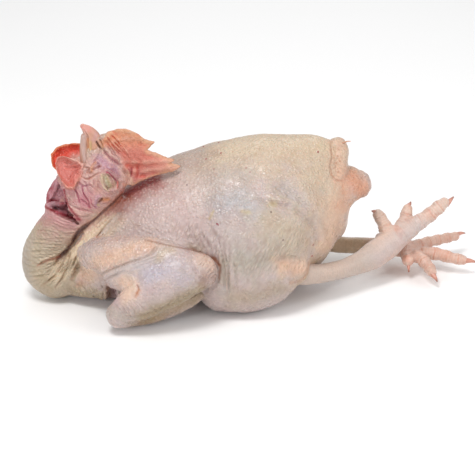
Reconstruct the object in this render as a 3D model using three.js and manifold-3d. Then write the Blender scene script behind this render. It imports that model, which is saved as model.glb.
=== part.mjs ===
// Whole raw yellow-skinned chicken, plucked, with its head, wings, legs and feet.
// It lies on its breast with the neck folded back over itself and the head on the shoulder.
// Millimetres. +X points to the tail, -Y to the bird's left side, +Z up.
// The origin is on the flat spot under the breast.

import * as THREE from 'three';
import { mergeVertices } from 'three/addons/utils/BufferGeometryUtils.js';
import Module from 'manifold-3d';

const wasm = await Module();
wasm.setup();

// A limb is a list of stations [x, y, z, half width, half height].
// The half width is measured along the limb's side direction, the half height across it.

const SIDEWAYS = [0, 1, 0];
const LENGTHWAYS = [1, 0, 0];
const TOE_SIDE = [0.3, 1, 0.2];

const trunk = [
  [-112, 0, 42, 42, 34],
  [-90, 0, 48, 50, 44],
  [-68, 0, 53, 57, 53],
  [-40, 0, 58, 62, 60],
  [-8, 0, 61, 65, 64],
  [25, 0, 62, 64, 65],
  [50, 0, 63, 57, 59],
  [68, 0, 65, 47, 51],
  [82, 0, 69, 35, 40],
];

const rump = [
  [-6, 0, 86, 54, 36],
  [26, 0, 94, 50, 37],
  [52, 0, 101, 38, 32],
  [72, 0, 105, 27, 28],
  [84, 0, 108, 22, 24],
];

const crop = [
  [-131, -6, 16, 28, 14],
  [-118, -3, 20, 38, 19],
  [-100, 0, 24, 44, 24],
];

const neck = [
  [-66, -5, 86, 20, 18],
  [-84, -9, 76, 17, 16],
  [-99, -13, 62, 16, 16],
  [-115, -16, 47, 16, 16],
  [-128, -16, 32, 17, 16],
  [-137, -15, 23, 17, 17],
  [-147, -13, 20, 17, 18],
  [-156, -11, 25, 17, 18],
  [-159, -10, 34, 16, 17],
  [-156, -10, 45, 16, 17],
  [-148, -11, 57, 16, 18],
  [-140, -13, 68, 16, 18],
  [-135, -14, 79, 15, 20],
  [-132, -15, 90, 14, 22],
  [-126, -16, 101, 13, 20],
  [-119, -18, 112, 12, 15],
];

const head = [
  [-126, -19, 78, 12, 13],
  [-120, -21, 88, 14, 16],
  [-112, -22, 99, 15, 19],
  [-107, -22, 112, 15, 21],
  [-108, -22, 124, 13, 16],
  [-110, -22, 133, 9, 10],
];

const upperBeak = [
  [-109, -22, 130, 9, 11],
  [-109, -22, 139, 8, 9],
  [-112, -22, 146, 6, 7],
  [-117, -22, 152, 4, 4],
  [-121, -22, 155, 2, 2],
];

const lowerBeak = [
  [-118, -22, 126, 7, 5],
  [-119, -22, 137, 5, 4],
  [-120, -22, 147, 3, 2],
];

// The comb's outline in its own plane [x, z], from the brow over the top to the nape.
const combOutline = [
  [-106, 143], [-100, 150], [-92, 153], [-86, 153], [-81, 151], [-75, 149], [-71, 143], [-63, 141],
  [-69, 135], [-59, 130], [-47, 125], [-51, 123], [-42, 119.5], [-49, 115.5], [-63, 112],
  [-74, 107], [-82, 103], [-87, 106], [-92, 108], [-100, 120], [-106, 132],
];
const combHole = { x: -84, z: 113, halfWidth: 2, halfHeight: 4.5 };
const combPlane = -22;
const combThickness = 3;
const combEdgeRound = 1;

const nearWattle = [
  [-124, -29, 130, 3, 7],
  [-132, -32, 125, 4, 10],
  [-134, -33, 117, 4, 9],
  [-129, -32, 110, 4, 6],
];

const farWattle = [
  [-120, -13, 130, 3, 7],
  [-133, -10, 127, 4, 9],
  [-140, -8, 122, 4, 7],
];

const eyeLid = { centre: [-102, -35, 114], size: [8, 5, 9] };
const earLobe = { centre: [-111, -34, 97], size: [8, 5, 6] };
const crownKnob = { centre: [-104, -22, 145], size: [5, 5, 5] };

// The opened throat, a three-cornered gap [x, z] between the folded neck and the head.
// It is open to the left side and ends at the skin of the right side.
const throatGap = [[-170, 93], [-146, 114], [-138, 101], [-134, 87], [-126, 74], [-140, 80]];
const throatDepth = { from: -60, to: -11 };

const upperArm = [
  [-112, -36, 48, 14, 16],
  [-105, -51, 56, 13, 15],
  [-90, -58, 60, 13, 14],
  [-72, -64, 61, 13, 14],
  [-50, -72, 57, 13, 14],
  [-33, -77, 53, 11, 13],
];

const forearm = [
  [-27, -78, 49, 10, 13],
  [-44, -84, 47, 11, 17],
  [-64, -87, 39, 11, 18],
  [-84, -86, 27, 11, 15],
  [-98, -83, 17, 9, 10],
];

const wingWeb = [
  [-46, -79, 53, 8, 12],
  [-70, -78, 49, 8, 17],
  [-90, -73, 43, 6, 15],
];

const hand = [
  [-98, -80, 14, 8, 8],
  [-76, -76, 11, 6, 8],
  [-50, -73, 12, 5, 8],
  [-26, -70, 15, 4, 6],
];

const thigh = [
  [50, -34, 86, 20, 24],
  [28, -44, 72, 27, 34],
  [4, -49, 50, 27, 32],
  [-12, -50, 34, 22, 24],
];

const drumstick = [
  [-12, -52, 26, 22, 24],
  [12, -54, 28, 22, 26],
  [34, -54, 34, 19, 23],
  [50, -51, 36, 12, 13],
];

const tailPad = [
  [88, -16, 113, 8, 18],
  [89, 0, 114, 9, 18],
  [88, 16, 112, 8, 17],
];

const ventLip = [
  [97, -10, 91, 14, 10],
  [100, 0, 91, 15, 11],
  [97, 10, 90, 14, 10],
];

const nearShank = [
  [45, -50, 36, 11, 12],
  [62, -45, 32, 8, 9],
  [88, -33, 29.5, 7.5, 8],
  [108, -21, 30, 8, 9],
  [122, -12, 32.5, 9, 11],
  [135, -4, 36, 9, 11],
  [147, 2, 40.5, 8, 9],
  [156, 6, 44.5, 7, 7],
];

const farShank = [
  [46, 50, 34, 11, 12],
  [62, 48, 24, 8, 9],
  [92, 38, 18, 7, 7.5],
  [124, 32, 17, 7, 7.5],
  [148, 27, 17, 9, 8],
  [160, 22, 17, 10, 7],
];

// Each toe is its own short limb, [x, y, z, half size], and its claw runs on from the tip.
const nearToes = [
  { path: [[147, 2, 40.5, 8], [158, 7, 45.5, 7.5], [170, 11, 51.5, 6.5], [181, 15, 58.5, 6], [187, 17, 62.5, 5]],
    claw: [[190, 17, 61, 2.8], [195, 19, 65, 1.8], [198, 20, 69, 0.7]] },
  { path: [[136, 0, 38, 7], [134, 6, 46, 6], [131, 10, 52, 5.5], [128, 12, 56, 4.5]],
    claw: [[127, 12, 57, 2.4], [124, 12, 59, 1.6], [121, 12, 59, 0.7]] },
  { path: [[144, 4, 40, 7], [149, 10, 45, 6], [153, 15, 52, 5], [155, 17, 58, 4.6]],
    claw: [[156, 18, 60, 2.2], [158, 18, 63, 1.4], [159, 18, 65, 0.7]] },
  { path: [[136, 2, 34, 6], [135, 14, 30, 5], [133, 24, 28, 4.4]],
    claw: [[133, 26, 28, 2.2], [132, 30, 27, 1.4], [131, 33, 25, 0.7]] },
];

const farToes = [
  { path: [[160, 22, 18, 6], [176, 32, 18, 5], [192, 39, 18, 4.6], [205, 44, 18, 4]],
    claw: [[206, 45, 19, 2.2], [211, 48, 19, 1.5], [215, 50, 18, 0.6]] },
  { path: [[160, 18, 16, 6], [180, 11, 17, 5.5], [194, 5, 15, 5], [203, 2, 14, 4.6]],
    claw: [[204, 1, 14, 2.6], [209, 0, 14, 1.8], [214, -1, 13, 0.6]] },
  { path: [[158, 16, 16, 6], [165, 3, 17, 5.5], [170, -7, 14, 5], [172, -16, 12, 4.5]],
    claw: [[172, -18, 11, 2.4], [174, -22, 9, 1.5], [175, -24, 7, 0.6]] },
  { path: [[157, 20, 16, 6], [155, 8, 16, 5.4], [154, 0, 17, 5.2]],
    claw: [[154, -1, 14, 2], [154, -4, 11, 1.2], [154, -5, 8, 0.6]] },
];

const floorSize = 900;

// Skin tone of the whole bird.
const skin = new THREE.MeshStandardMaterial({ color: 0xe3c5b3, roughness: 0.45, metalness: 0 });

// One value of a smooth curve through four neighbouring values, between the middle two.
function between(before, from, to, after, t) {
  const bend = 2 * before - 5 * from + 4 * to - after;
  const swing = 3 * (from - to) + after - before;
  return from + 0.5 * t * (to - before + t * (bend + t * swing));
}

// The stations of a limb, smoothed to a given number of steps between each two.
function smoothed(stations, steps) {
  const last = stations.length - 1;
  const mirrored = (end, next) => end.map((value, k) => 2 * value - next[k]);
  const padded = [mirrored(stations[0], stations[1]), ...stations,
    mirrored(stations[last], stations[last - 1])];
  const rings = [];
  for (let i = 0; i < last; i++) {
    for (let s = 0; s < steps; s++) {
      const near = padded.slice(i, i + 4);
      rings.push(near[1].map((_, k) => between(near[0][k], near[1][k], near[2][k], near[3][k], s / steps)));
    }
  }
  rings.push([...stations[last]]);
  return rings;
}

// A closed limb with oval sections and domed ends. Its sections are square to its own line,
// or to the direction that facing gives.
function limb(stations, options = {}) {
  const { side = SIDEWAYS, facing, sides = 14, steps = 2, domes = [0.9, 0.9], domeSteps = 2 } = options;
  const rings = smoothed(stations, steps);
  const centres = rings.map(ring => new THREE.Vector3(...ring.slice(0, 3)));
  const sideways = new THREE.Vector3(...side);
  const frames = centres.map((centre, i) => {
    const from = centres[Math.max(i - 1, 0)];
    const to = centres[Math.min(i + 1, centres.length - 1)];
    const along = facing ? new THREE.Vector3(...facing) : to.clone().sub(from).normalize();
    const wide = sideways.clone().addScaledVector(along, -sideways.dot(along)).normalize();
    return { centre, along, wide, tall: along.clone().cross(wide), size: rings[i].slice(3) };
  });

  const points = [];
  const addRing = (frame, shift, scale) => {
    for (let j = 0; j < sides; j++) {
      const angle = (2 * Math.PI * j) / sides;
      points.push(frame.centre.clone()
        .addScaledVector(frame.along, shift)
        .addScaledVector(frame.wide, frame.size[0] * scale * Math.cos(angle))
        .addScaledVector(frame.tall, frame.size[1] * scale * Math.sin(angle)));
    }
  };
  const first = frames[0];
  const last = frames[frames.length - 1];
  const domeLength = (frame, dome) => dome * (frame.size[0] + frame.size[1]) / 2;
  const startDome = domeLength(first, domes[0]);
  const endDome = domeLength(last, domes[1]);
  const quarter = step => (Math.PI / 2) * step / domeSteps;

  points.push(first.centre.clone().addScaledVector(first.along, -startDome));
  for (let d = domeSteps - 1; d > 0; d--) {
    addRing(first, -startDome * Math.sin(quarter(d)), Math.cos(quarter(d)));
  }
  frames.forEach(frame => addRing(frame, 0, 1));
  for (let d = 1; d < domeSteps; d++) {
    addRing(last, endDome * Math.sin(quarter(d)), Math.cos(quarter(d)));
  }
  points.push(last.centre.clone().addScaledVector(last.along, endDome));

  const faces = [];
  const ringCount = (points.length - 2) / sides;
  const at = (ring, j) => 1 + ring * sides + (j % sides);
  for (let j = 0; j < sides; j++) {
    faces.push(0, at(0, j + 1), at(0, j));
    for (let ring = 0; ring < ringCount - 1; ring++) {
      faces.push(at(ring, j), at(ring, j + 1), at(ring + 1, j + 1));
      faces.push(at(ring, j), at(ring + 1, j + 1), at(ring + 1, j));
    }
    faces.push(points.length - 1, at(ringCount - 1, j), at(ringCount - 1, j + 1));
  }
  return new THREE.BufferGeometry().setFromPoints(points).setIndex(faces);
}

// A closed mesh becomes a solid that can be joined and cut.
function solid(geometry) {
  geometry.deleteAttribute('normal');
  geometry.deleteAttribute('uv');
  const merged = mergeVertices(geometry, 1e-4);
  const vertProperties = new Float32Array(merged.attributes.position.array);
  const triVerts = new Uint32Array(merged.index.array);
  return new wasm.Manifold(new wasm.Mesh({ numProp: 3, vertProperties, triVerts }));
}

function egg({ centre, size }) {
  const ball = new THREE.SphereGeometry(1, 12, 8);
  ball.scale(...size).translate(...centre);
  return solid(ball);
}

function join(solids) {
  return solids.reduce((whole, next) => whole.add(next));
}

// The same limb on the bird's other side.
function otherSide(stations) {
  return stations.map(([x, y, z, ...size]) => [x, -y, z, ...size]);
}

function body() {
  return join([
    solid(limb(trunk, { facing: LENGTHWAYS, sides: 28, domes: [0.4, 0.38], domeSteps: 4 })),
    solid(limb(rump, { facing: LENGTHWAYS, sides: 18, domes: [0.4, 0.3] })),
    solid(limb(crop, { facing: LENGTHWAYS, sides: 16, domes: [0.6, 0.5] })),
    solid(limb(tailPad, { side: LENGTHWAYS, sides: 16, domes: [0.6, 0.6] })),
    solid(limb(ventLip, { side: LENGTHWAYS, sides: 14 })),
  ]);
}

function leg(side) {
  return join([
    solid(limb(side(thigh), { sides: 16 })),
    solid(limb(side(drumstick), { sides: 14 })),
  ]);
}

function wing(side) {
  return join([
    solid(limb(side(upperArm), { sides: 12 })),
    solid(limb(side(forearm), { sides: 14 })),
    solid(limb(side(wingWeb), { sides: 12 })),
    solid(limb(side(hand), { sides: 8 })),
  ]);
}

// A toe's half size serves for both its width and its height.
function toe({ path, claw }) {
  const round = stations => stations.map(([x, y, z, half]) => [x, y, z, half, half]);
  return solid(limb(round(path), { side: TOE_SIDE, sides: 8 }))
    .add(solid(limb(round(claw), { side: TOE_SIDE, sides: 6, steps: 1, domeSteps: 1 })));
}

function foot(shank, toes) {
  return join([solid(limb(shank, { sides: 10 })), ...toes.map(toe)]);
}

function comb() {
  const outline = new THREE.Shape(combOutline.map(([x, z]) => new THREE.Vector2(x, z)));
  const gap = new THREE.Path();
  gap.absellipse(combHole.x, combHole.z, combHole.halfWidth, combHole.halfHeight, 0, 2 * Math.PI);
  outline.holes.push(gap);
  const blade = new THREE.ExtrudeGeometry(outline, {
    depth: combThickness - 2 * combEdgeRound,
    curveSegments: 8,
    bevelThickness: combEdgeRound,
    bevelSize: combEdgeRound,
    bevelOffset: -combEdgeRound,
    bevelSegments: 1,
  });
  blade.translate(0, 0, combEdgeRound - combThickness / 2).rotateX(Math.PI / 2).translate(0, combPlane, 0);
  return solid(blade);
}

function throatCut() {
  const outline = new THREE.Shape(throatGap.map(([x, z]) => new THREE.Vector2(x, z)));
  const gap = new THREE.ExtrudeGeometry(outline, {
    depth: throatDepth.to - throatDepth.from,
    bevelEnabled: false,
  });
  return solid(gap.rotateX(Math.PI / 2).translate(0, throatDepth.to, 0));
}

function headAndNeck() {
  const flesh = join([
    solid(limb(neck, { sides: 18, steps: 1 })),
    solid(limb(head, { sides: 16 })),
    egg(eyeLid),
    egg(earLobe),
    egg(crownKnob),
  ]);
  return join([
    flesh.subtract(throatCut()),
    solid(limb(upperBeak, { sides: 12 })),
    solid(limb(lowerBeak, { sides: 10 })),
    solid(limb(nearWattle, { sides: 12 })),
    solid(limb(farWattle, { sides: 12 })),
    comb(),
  ]);
}

// What would sink below the resting surface is cut flat.
function restingSurface() {
  return solid(new THREE.BoxGeometry(floorSize, floorSize, floorSize).translate(0, 0, -floorSize / 2));
}

function chicken() {
  const same = stations => stations;
  const bird = join([
    body(),
    leg(same), leg(otherSide),
    wing(same), wing(otherSide),
    foot(nearShank, nearToes), foot(farShank, farToes),
    headAndNeck(),
  ]).subtract(restingSurface());
  const { numProp, vertProperties, triVerts } = bird.getMesh();
  const geometry = new THREE.BufferGeometry();
  geometry.setAttribute('position', new THREE.BufferAttribute(new Float32Array(vertProperties), numProp));
  geometry.setIndex(new THREE.BufferAttribute(new Uint32Array(triVerts), 1));
  geometry.computeVertexNormals();
  const mesh = new THREE.Mesh(geometry, skin);
  mesh.name = 'chicken';
  return mesh;
}

const group = new THREE.Group();
group.add(chicken());

export default group;
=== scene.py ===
"""Dresses a whole plucked raw chicken: its skin, head, comb, wattles, beak, feet and claws.

Lengths in the shapes are millimetres, +X to the tail, -Y to the bird's left side, +Z up.
The skin is one soft form, a grid of distances that its limbs are joined on. It is meshed as a body,
two wings and a head with its neck, which run on a little under each other where they meet.
Creases, folds and scales are then pressed into those meshes, and their tones painted on the points, with
painted shade in creases and hollows and some painted highlights.
Creases and tones are placed as a View shows the bird, across and down in steps of about 0.85 mm.
"""

import bpy
import numpy as np
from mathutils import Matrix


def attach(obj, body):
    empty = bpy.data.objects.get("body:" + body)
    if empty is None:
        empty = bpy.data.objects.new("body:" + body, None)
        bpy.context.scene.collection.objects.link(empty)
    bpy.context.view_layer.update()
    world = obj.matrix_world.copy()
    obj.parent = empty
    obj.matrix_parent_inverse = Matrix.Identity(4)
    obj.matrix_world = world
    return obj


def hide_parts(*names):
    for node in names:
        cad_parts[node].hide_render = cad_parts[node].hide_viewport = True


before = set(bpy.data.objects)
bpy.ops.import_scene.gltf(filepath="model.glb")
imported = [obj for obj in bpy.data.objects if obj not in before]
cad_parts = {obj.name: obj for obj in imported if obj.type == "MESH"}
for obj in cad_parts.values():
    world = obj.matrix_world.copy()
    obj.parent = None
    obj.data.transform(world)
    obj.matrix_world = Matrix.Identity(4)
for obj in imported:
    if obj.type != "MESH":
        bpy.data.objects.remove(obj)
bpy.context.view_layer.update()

import openvdb
from mathutils import Vector

MM = 0.001

# How far from a surface its distances are kept, which also limits how softly limbs can join.
BAND = 14.0

SIDEWAYS = (0, 1, 0)
LENGTHWAYS = (1, 0, 0)
TOE_SIDE = (0.3, 1, 0.2)

AIM = np.array([6.0, 0.0, 44.0])
CAMERA_DISTANCE = 1300
CAMERA_LENS = 116
SENSOR = 36
VIEW_SIZE = 475
STEP = CAMERA_DISTANCE * SENSOR / CAMERA_LENS / VIEW_SIZE

# A line of sight is followed this far before and behind the aim, in these steps.
SIGHT_REACH = 150
SIGHT_STEP = 0.25

# Steps of a limb's domed ends, cells of the noise's table each way, and points of a wrinkle's line.
DOME_STEPS = 7
NOISE_CELLS = 32
WRINKLE_POINTS = 13

# Lines of 3 to this many points are smoothed before they are followed.
MOST_SMOOTHED = 8

# The spacing of the toes' joints, and of the scales on shanks and toes.
JOINT_LENGTH = 10.5
SCALE_LENGTH = 2.3

# The most triangles of a piece of each kind.
SKIN_TRIANGLES = 195000
WING_TRIANGLES = 120000
FOOT_TRIANGLES = 70000
BEAK_TRIANGLES = 40000

# Half the floor's side in metres, and the lamps: name, place and width in metres, and watts.
FLOOR_HALF = 6
LAMPS = [
    ("key", (-0.3, -0.5, 1.3), 0.5, 9),
    ("glint", (-0.68, -1.05, 0.57), 0.14, 2.3),
    ("fill", (0.95, -0.6, 0.75), 1.0, 4.5),
    ("back", (0.2, 1.1, 1.1), 1.0, 4),
]

# A limb is a list of stations: x, y, z, half width, half height.

TRUNK = [
    (-112, 0, 42, 42, 34), (-90, 0, 48, 50, 44), (-68, 0, 53, 57, 53), (-40, 0, 58, 62, 60),
    (-8, 0, 61, 65, 64), (25, 0, 62, 64, 65), (50, 0, 63, 57, 59), (68, 0, 65, 47, 51),
    (81, 0, 68, 36, 41), (90, 0, 71, 25, 30),
]
RUMP = [
    (-6, 0, 86, 54, 36), (26, 0, 94, 50, 37), (52, 0, 101, 38, 32), (70, 0, 105, 27, 28),
    (81, 0, 107, 20, 23),
]
CROP = [
    (-131, -6, 16, 28, 14), (-118, -3, 20, 38, 19), (-100, 0, 24, 44, 24),
]
BREAST_SIDE = [
    (-104, -42, 38, 13, 17), (-80, -52, 40, 14, 22), (-50, -58, 44, 12, 24),
]
NECK_DOWN = [
    (-66, -5, 86, 20, 18), (-84, -9, 76, 17, 16), (-99, -13, 62, 16, 16), (-115, -16, 47, 16, 16),
    (-128, -16, 32, 17, 16), (-137, -15, 23, 17, 17), (-147, -13, 20, 17, 18),
]
NECK_UP = [
    (-147, -13, 20, 17, 18), (-156, -11, 25, 17, 18), (-159, -10, 34, 16, 17), (-156, -10, 45, 16, 17),
    (-148, -11, 57, 16, 18), (-140, -13, 68, 16, 18), (-135, -14, 79, 15, 20), (-132, -15, 90, 14, 22),
    (-126, -16, 101, 13, 20), (-119, -18, 112, 12, 15),
]
HEAD = [
    (-126, -19, 78, 12, 13), (-120, -21, 88, 14, 16), (-112, -22, 99, 15, 19), (-107, -22, 112, 15, 21),
    (-108, -22, 124, 13, 16), (-110, -22, 133, 9, 11),
]
UPPER_BEAK = [
    (-109.5, -22, 126, 8, 9), (-111, -22, 138, 7.2, 7.8), (-113, -22, 147, 5.6, 6.2),
    (-117, -22, 153, 3.6, 4.2), (-120.5, -22, 156.4, 1.7, 2.0),
]
LOWER_BEAK = [
    (-118, -22, 122, 6.4, 5.4), (-119.8, -22, 134, 5.6, 3.9), (-119.8, -22, 147, 3.6, 2.5),
]
GAPE = [
    (-114, -22, 114, 8, 8), (-119, -20.5, 120, 7, 6), (-123, -19, 125, 5, 4.5),
]
KNOB = [
    (-108, -24, 144.5, 3, 3), (-105, -24, 146.5, 3.4, 3.4), (-101.5, -24, 146.5, 3.2, 3.2),
]

# The skin of the neck's lower run, which shows as a roll beside the upper one.
NECK_ROLL = [
    (-90, -19, 85, 6, 6), (-100, -24, 77, 6.5, 6.5), (-106, -26, 71, 6.5, 6.5),
    (-113, -29, 65, 6.5, 6.5), (-120, -31, 58.5, 6.5, 6.5), (-126, -31, 51, 7, 7),
    (-130, -28, 42, 7, 7), (-135, -22, 31, 7.5, 7.5),
]
UPPER_ARM = [
    (-112, -36, 48, 14, 16), (-105, -51, 56, 13, 15), (-90, -58, 60, 13, 14), (-72, -64, 61, 13, 14),
    (-50, -72, 57, 13, 14), (-33, -77, 53, 11, 13),
]
FOREARM = [
    (-27, -78, 49, 10, 13), (-44, -84, 47, 11, 17), (-64, -87, 39, 11, 18), (-84, -86, 27, 11, 15),
    (-98, -83, 17, 9, 10),
]
WING_WEB = [
    (-46, -79, 53, 8, 12), (-70, -78, 49, 8, 17), (-90, -73, 45, 6, 14), (-102, -65, 43, 5, 11),
]
HAND = [
    (-98, -81, 15, 8, 9), (-78, -79, 16, 6.5, 11), (-56, -75, 20, 5, 11), (-40, -71, 23, 3.6, 8),
    (-28, -67, 25, 2.4, 4),
]
THIGH = [
    (50, -34, 86, 20, 24), (28, -44, 72, 27, 34), (4, -49, 50, 27, 32), (-12, -50, 34, 22, 24),
]
DRUMSTICK = [
    (-12, -52, 26, 22, 24), (12, -54, 28, 22, 26), (34, -54, 34, 19, 23), (50, -52, 37, 12, 13),
]
TAIL_PAD = [
    (85, 0, 94, 15, 9), (89, 0, 102, 19, 9.5), (90, 0, 112, 17, 8.4), (90, 0, 120, 13, 9),
    (89, 0, 125, 9, 8),
]
VENT_LIP = [
    (78, 0, 85, 26, 20), (93, 0, 89, 22, 16), (104, 0, 90, 18.5, 13.5), (110, 0, 89.5, 15, 10.5),
]
NEAR_SHANK = [
    (45, -50, 36, 11, 12), (62, -45, 28.5, 8, 9), (88, -33, 25.5, 7.5, 8), (108, -21, 26, 8, 10),
    (122, -12, 29, 9, 12.5), (135, -4, 33.5, 9, 12), (147, 2, 39.5, 8, 9.5), (156, 6, 44.5, 7, 7),
]
FAR_SHANK = [
    (46, 50, 34, 11, 12), (62, 48, 24, 8, 9), (92, 38, 18, 7, 7.5), (124, 32, 17, 7, 7.5),
    (148, 27, 17, 9, 8), (160, 22, 17, 10, 7),
]

# Toes have round sections, so their stations give one half size. Each claw runs on from its toe.
NEAR_TOES = [
    [(147, 2, 40.5, 8), (158, 7, 45.5, 7.5), (170, 11, 51.5, 6.5), (181, 15, 58.5, 6), (187, 17, 62.5, 5)],
    [(136, 0, 38, 7), (134, 6, 46, 6), (131, 10, 52, 5.5), (128, 12, 56, 4.5)],
    [(144, 4, 40, 7), (149, 10, 45, 6), (153, 15, 52, 5), (155, 17, 58, 4.6)],
    [(136, 2, 34, 6), (135, 14, 30, 5), (133, 24, 28, 4.4)],
]
NEAR_CLAWS = [
    [(189, 17, 61, 2.7), (192.5, 18.5, 64, 1.7), (195, 19, 66.5, 0.7)],
    [(127, 12, 57, 2.4), (125, 12, 58.5, 1.6), (123, 12, 59, 0.7)],
    [(155.5, 18, 60, 2.2), (157, 18, 62, 1.4), (157.5, 18, 63.5, 0.7)],
    [(133, 26, 28, 2.2), (132, 29, 27, 1.4), (131.5, 31, 26, 0.7)],
]
FAR_TOES = [
    [(160, 22, 18, 6), (176, 32, 18, 5), (192, 39, 18, 4.6), (205, 44, 18, 4)],
    [(160, 18, 16, 6), (180, 11, 17, 5.5), (194, 5, 15, 5), (203, 2, 14, 4.6)],
    [(158, 16, 16, 6), (165, 3, 17, 5.5), (170, -7, 14, 5), (172, -16, 12, 4.5)],
    [(157, 20, 16, 6), (155, 8, 16, 5.4), (154, 0, 17, 5.2)],
]
FAR_CLAWS = [
    [(206, 45, 19, 2.2), (211, 48, 19, 1.5), (215, 50, 18, 0.6)],
    [(204, 1, 14, 2.6), (209, 0, 14, 1.8), (214, -1, 13, 0.6)],
    [(172, -18, 11, 2.4), (174, -22, 9, 1.5), (175, -24, 7, 0.6)],
    [(154, -1, 14, 2), (154, -4, 11, 1.2), (154, -5, 8, 0.6)],
]

# The comb's outline in its own plane, x and z, from the brow over the top to the nape.
COMB_OUTLINE = [
    (-106, 143), (-100, 150), (-92, 153), (-86, 153), (-81, 151), (-75, 149), (-71, 143), (-63, 141),
    (-69, 135), (-59, 130), (-47, 125), (-51, 123), (-42, 119.5), (-49, 115.5), (-63, 112),
    (-74, 107), (-82, 103), (-87, 106), (-92, 108), (-100, 120), (-106, 132),
]

# The upright planes that the head and the neck are mirrored in, and the skull's middle in the first.
HEAD_PLANE = -22
NECK_PLANE = -13
SKULL = (-108, 122)

# The stub of one feather that is left on the tail.
QUILL = [(91, -5, 128, 0.9), (96, -7, 130.5, 0.6), (99, -8, 131, 0.4)]

THROAT_GAP = [(-170, 93), (-146, 114), (-138, 101), (-134, 87), (-126, 74), (-140, 80)]
THROAT_FAR_WALL = -11

# Shreds of flesh in the opened throat.
SHREDS = [
    [(-152, -14, 84, 3), (-147, -16, 87, 2.4), (-142, -15, 86, 2)],
    [(-147, -20, 80, 2.6), (-142, -22, 82, 2.2), (-137, -20, 80, 2)],
    [(-150, -10, 90, 2.6), (-146, -11, 97, 2.2), (-143, -12, 104, 2)],
    [(-141, -12, 84, 3.4), (-138, -14, 90, 3), (-137, -14, 97, 2.6)],
]

# Folds of the face: the eye with its lids, the ear, and the skin by the beak's root. Each has its line in
# the left view, its half thickness, how deep it is sunk and how softly it joins.
FACE_FOLDS = [
    ([(103.5, 175.5), (107.5, 181), (112, 187)], [3.4, 4.6, 3.4], 2.9, 0.8),
    ([(101.5, 174.5), (101, 180), (103, 185.5), (107, 189.5), (113, 190.5)], 1.35, -0.2, 0.5),
    ([(103, 173), (108.5, 173), (113.5, 177), (116.5, 183.5), (115.5, 189)], 1.5, -0.1, 0.5),
    ([(96, 198), (98.5, 196), (102, 196.5), (104, 200)], 1.4, 0.2, 0.9),
    ([(95.5, 199), (96, 204), (99.5, 206)], 1.3, 0.3, 0.9),
    ([(103, 202), (107, 200.5), (110, 198)], 1.6, 0.5, 0.9),
    ([(93, 172), (88, 167), (82, 164.5)], 1.3, 0.4, 1.2),
    ([(97, 163), (93, 166), (91, 171)], 1.3, 0.3, 1.0),
    ([(80, 170), (76, 175), (75, 182)], 1.3, 0.5, 1.2),
]

# The wattles' outlines as the left view shows them.
NEAR_WATTLE = [
    (84, 166), (78, 160), (70, 157.5), (62.5, 155.2), (56.8, 157), (54.8, 163), (56.4, 172), (60.5, 181),
    (67, 188), (73.5, 188.5), (77.5, 182), (82, 174),
]
FAR_WATTLE = [
    (88, 158), (84, 146), (80, 143.5), (72, 143), (64, 144.8), (56.8, 147.4), (51, 154), (51, 161),
    (52.3, 167),
    (57, 171), (64, 168), (76, 165), (86, 164),
]


class View:
    """A fixed place to look at the bird from. With a mirror, it sees the other side as its mirror image."""

    def __init__(self, azimuth, elevation, mirror=None):
        a, e = np.radians(azimuth), np.radians(elevation)
        self.back = np.array([np.sin(a) * np.cos(e), -np.cos(a) * np.cos(e), np.sin(e)])
        self.right = np.array([np.cos(a), np.sin(a), 0])
        self.up = np.cross(self.back, self.right)
        self.mirror = mirror

    def places(self, x, y, z):
        """How far places lie across, down and towards the eye."""
        if self.mirror is not None:
            y = 2 * self.mirror - y
        x, y, z = x - AIM[0], y - AIM[1], z - AIM[2]
        across, up, toward = (x * d[0] + y * d[1] + z * d[2] for d in (self.right, self.up, self.back))
        steps = CAMERA_DISTANCE / STEP / (CAMERA_DISTANCE - toward)
        return VIEW_SIZE / 2 + steps * across, VIEW_SIZE / 2 - steps * up, toward

    def facing(self, normals):
        """1 where a surface faces the eye, -1 where it faces away."""
        if self.mirror is not None:
            normals = normals * (1, -1, 1)
        return normals @ self.back

    def sight(self, across, down):
        """The eye's place and the direction that it looks in."""
        sideways = (across - VIEW_SIZE / 2) * STEP * self.right
        upward = (VIEW_SIZE / 2 - down) * STEP * self.up
        return AIM + CAMERA_DISTANCE * self.back, unit(sideways + upward - CAMERA_DISTANCE * self.back)


def smoothed(stations, steps):
    """A smooth curve through the stations, with a given number of steps between each two."""
    points = np.array(stations, float)
    padded = np.vstack([2 * points[0] - points[1], points, 2 * points[-1] - points[-2]])
    place = np.linspace(0, len(points) - 1, (len(points) - 1) * steps + 1)
    first = np.minimum(place.astype(int), len(points) - 2)
    t = (place - first)[:, None]
    before, start, end, after = (padded[first + k] for k in range(4))
    bend = 2 * before - 5 * start + 4 * end - after
    swing = 3 * (start - end) + after - before
    return start + 0.5 * t * (end - before + t * (bend + t * swing))


def unit(vectors):
    """Vectors scaled to length 1."""
    return vectors / np.linalg.norm(vectors, axis=-1, keepdims=True)


def clipped(value):
    """A value held between 0 and 1."""
    return np.clip(value, 0, 1)


def bell(value):
    """1 where a value is 0, and smoothly down to 0 on both sides of it."""
    return np.exp(-(value ** 2))


def bands(length, spacing, gap):
    """Bands at even spaces along a length, up to 1 in their middles, and 0 in the gaps between them."""
    return clipped(np.abs(length / spacing % 1 - 0.5) * 2 - gap) / (1 - gap)


def from_skull(x, z):
    """The distance from the skull's middle, in the head's plane."""
    return np.hypot(x - SKULL[0], z - SKULL[1])


def other_side(stations):
    """The same limb on the bird's other side."""
    return [(x, -y, z, *size) for x, y, z, *size in stations]


def round_sections(stations):
    """Stations whose one half size serves for width and height."""
    return [(x, y, z, half, half) for x, y, z, half in stations]


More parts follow.
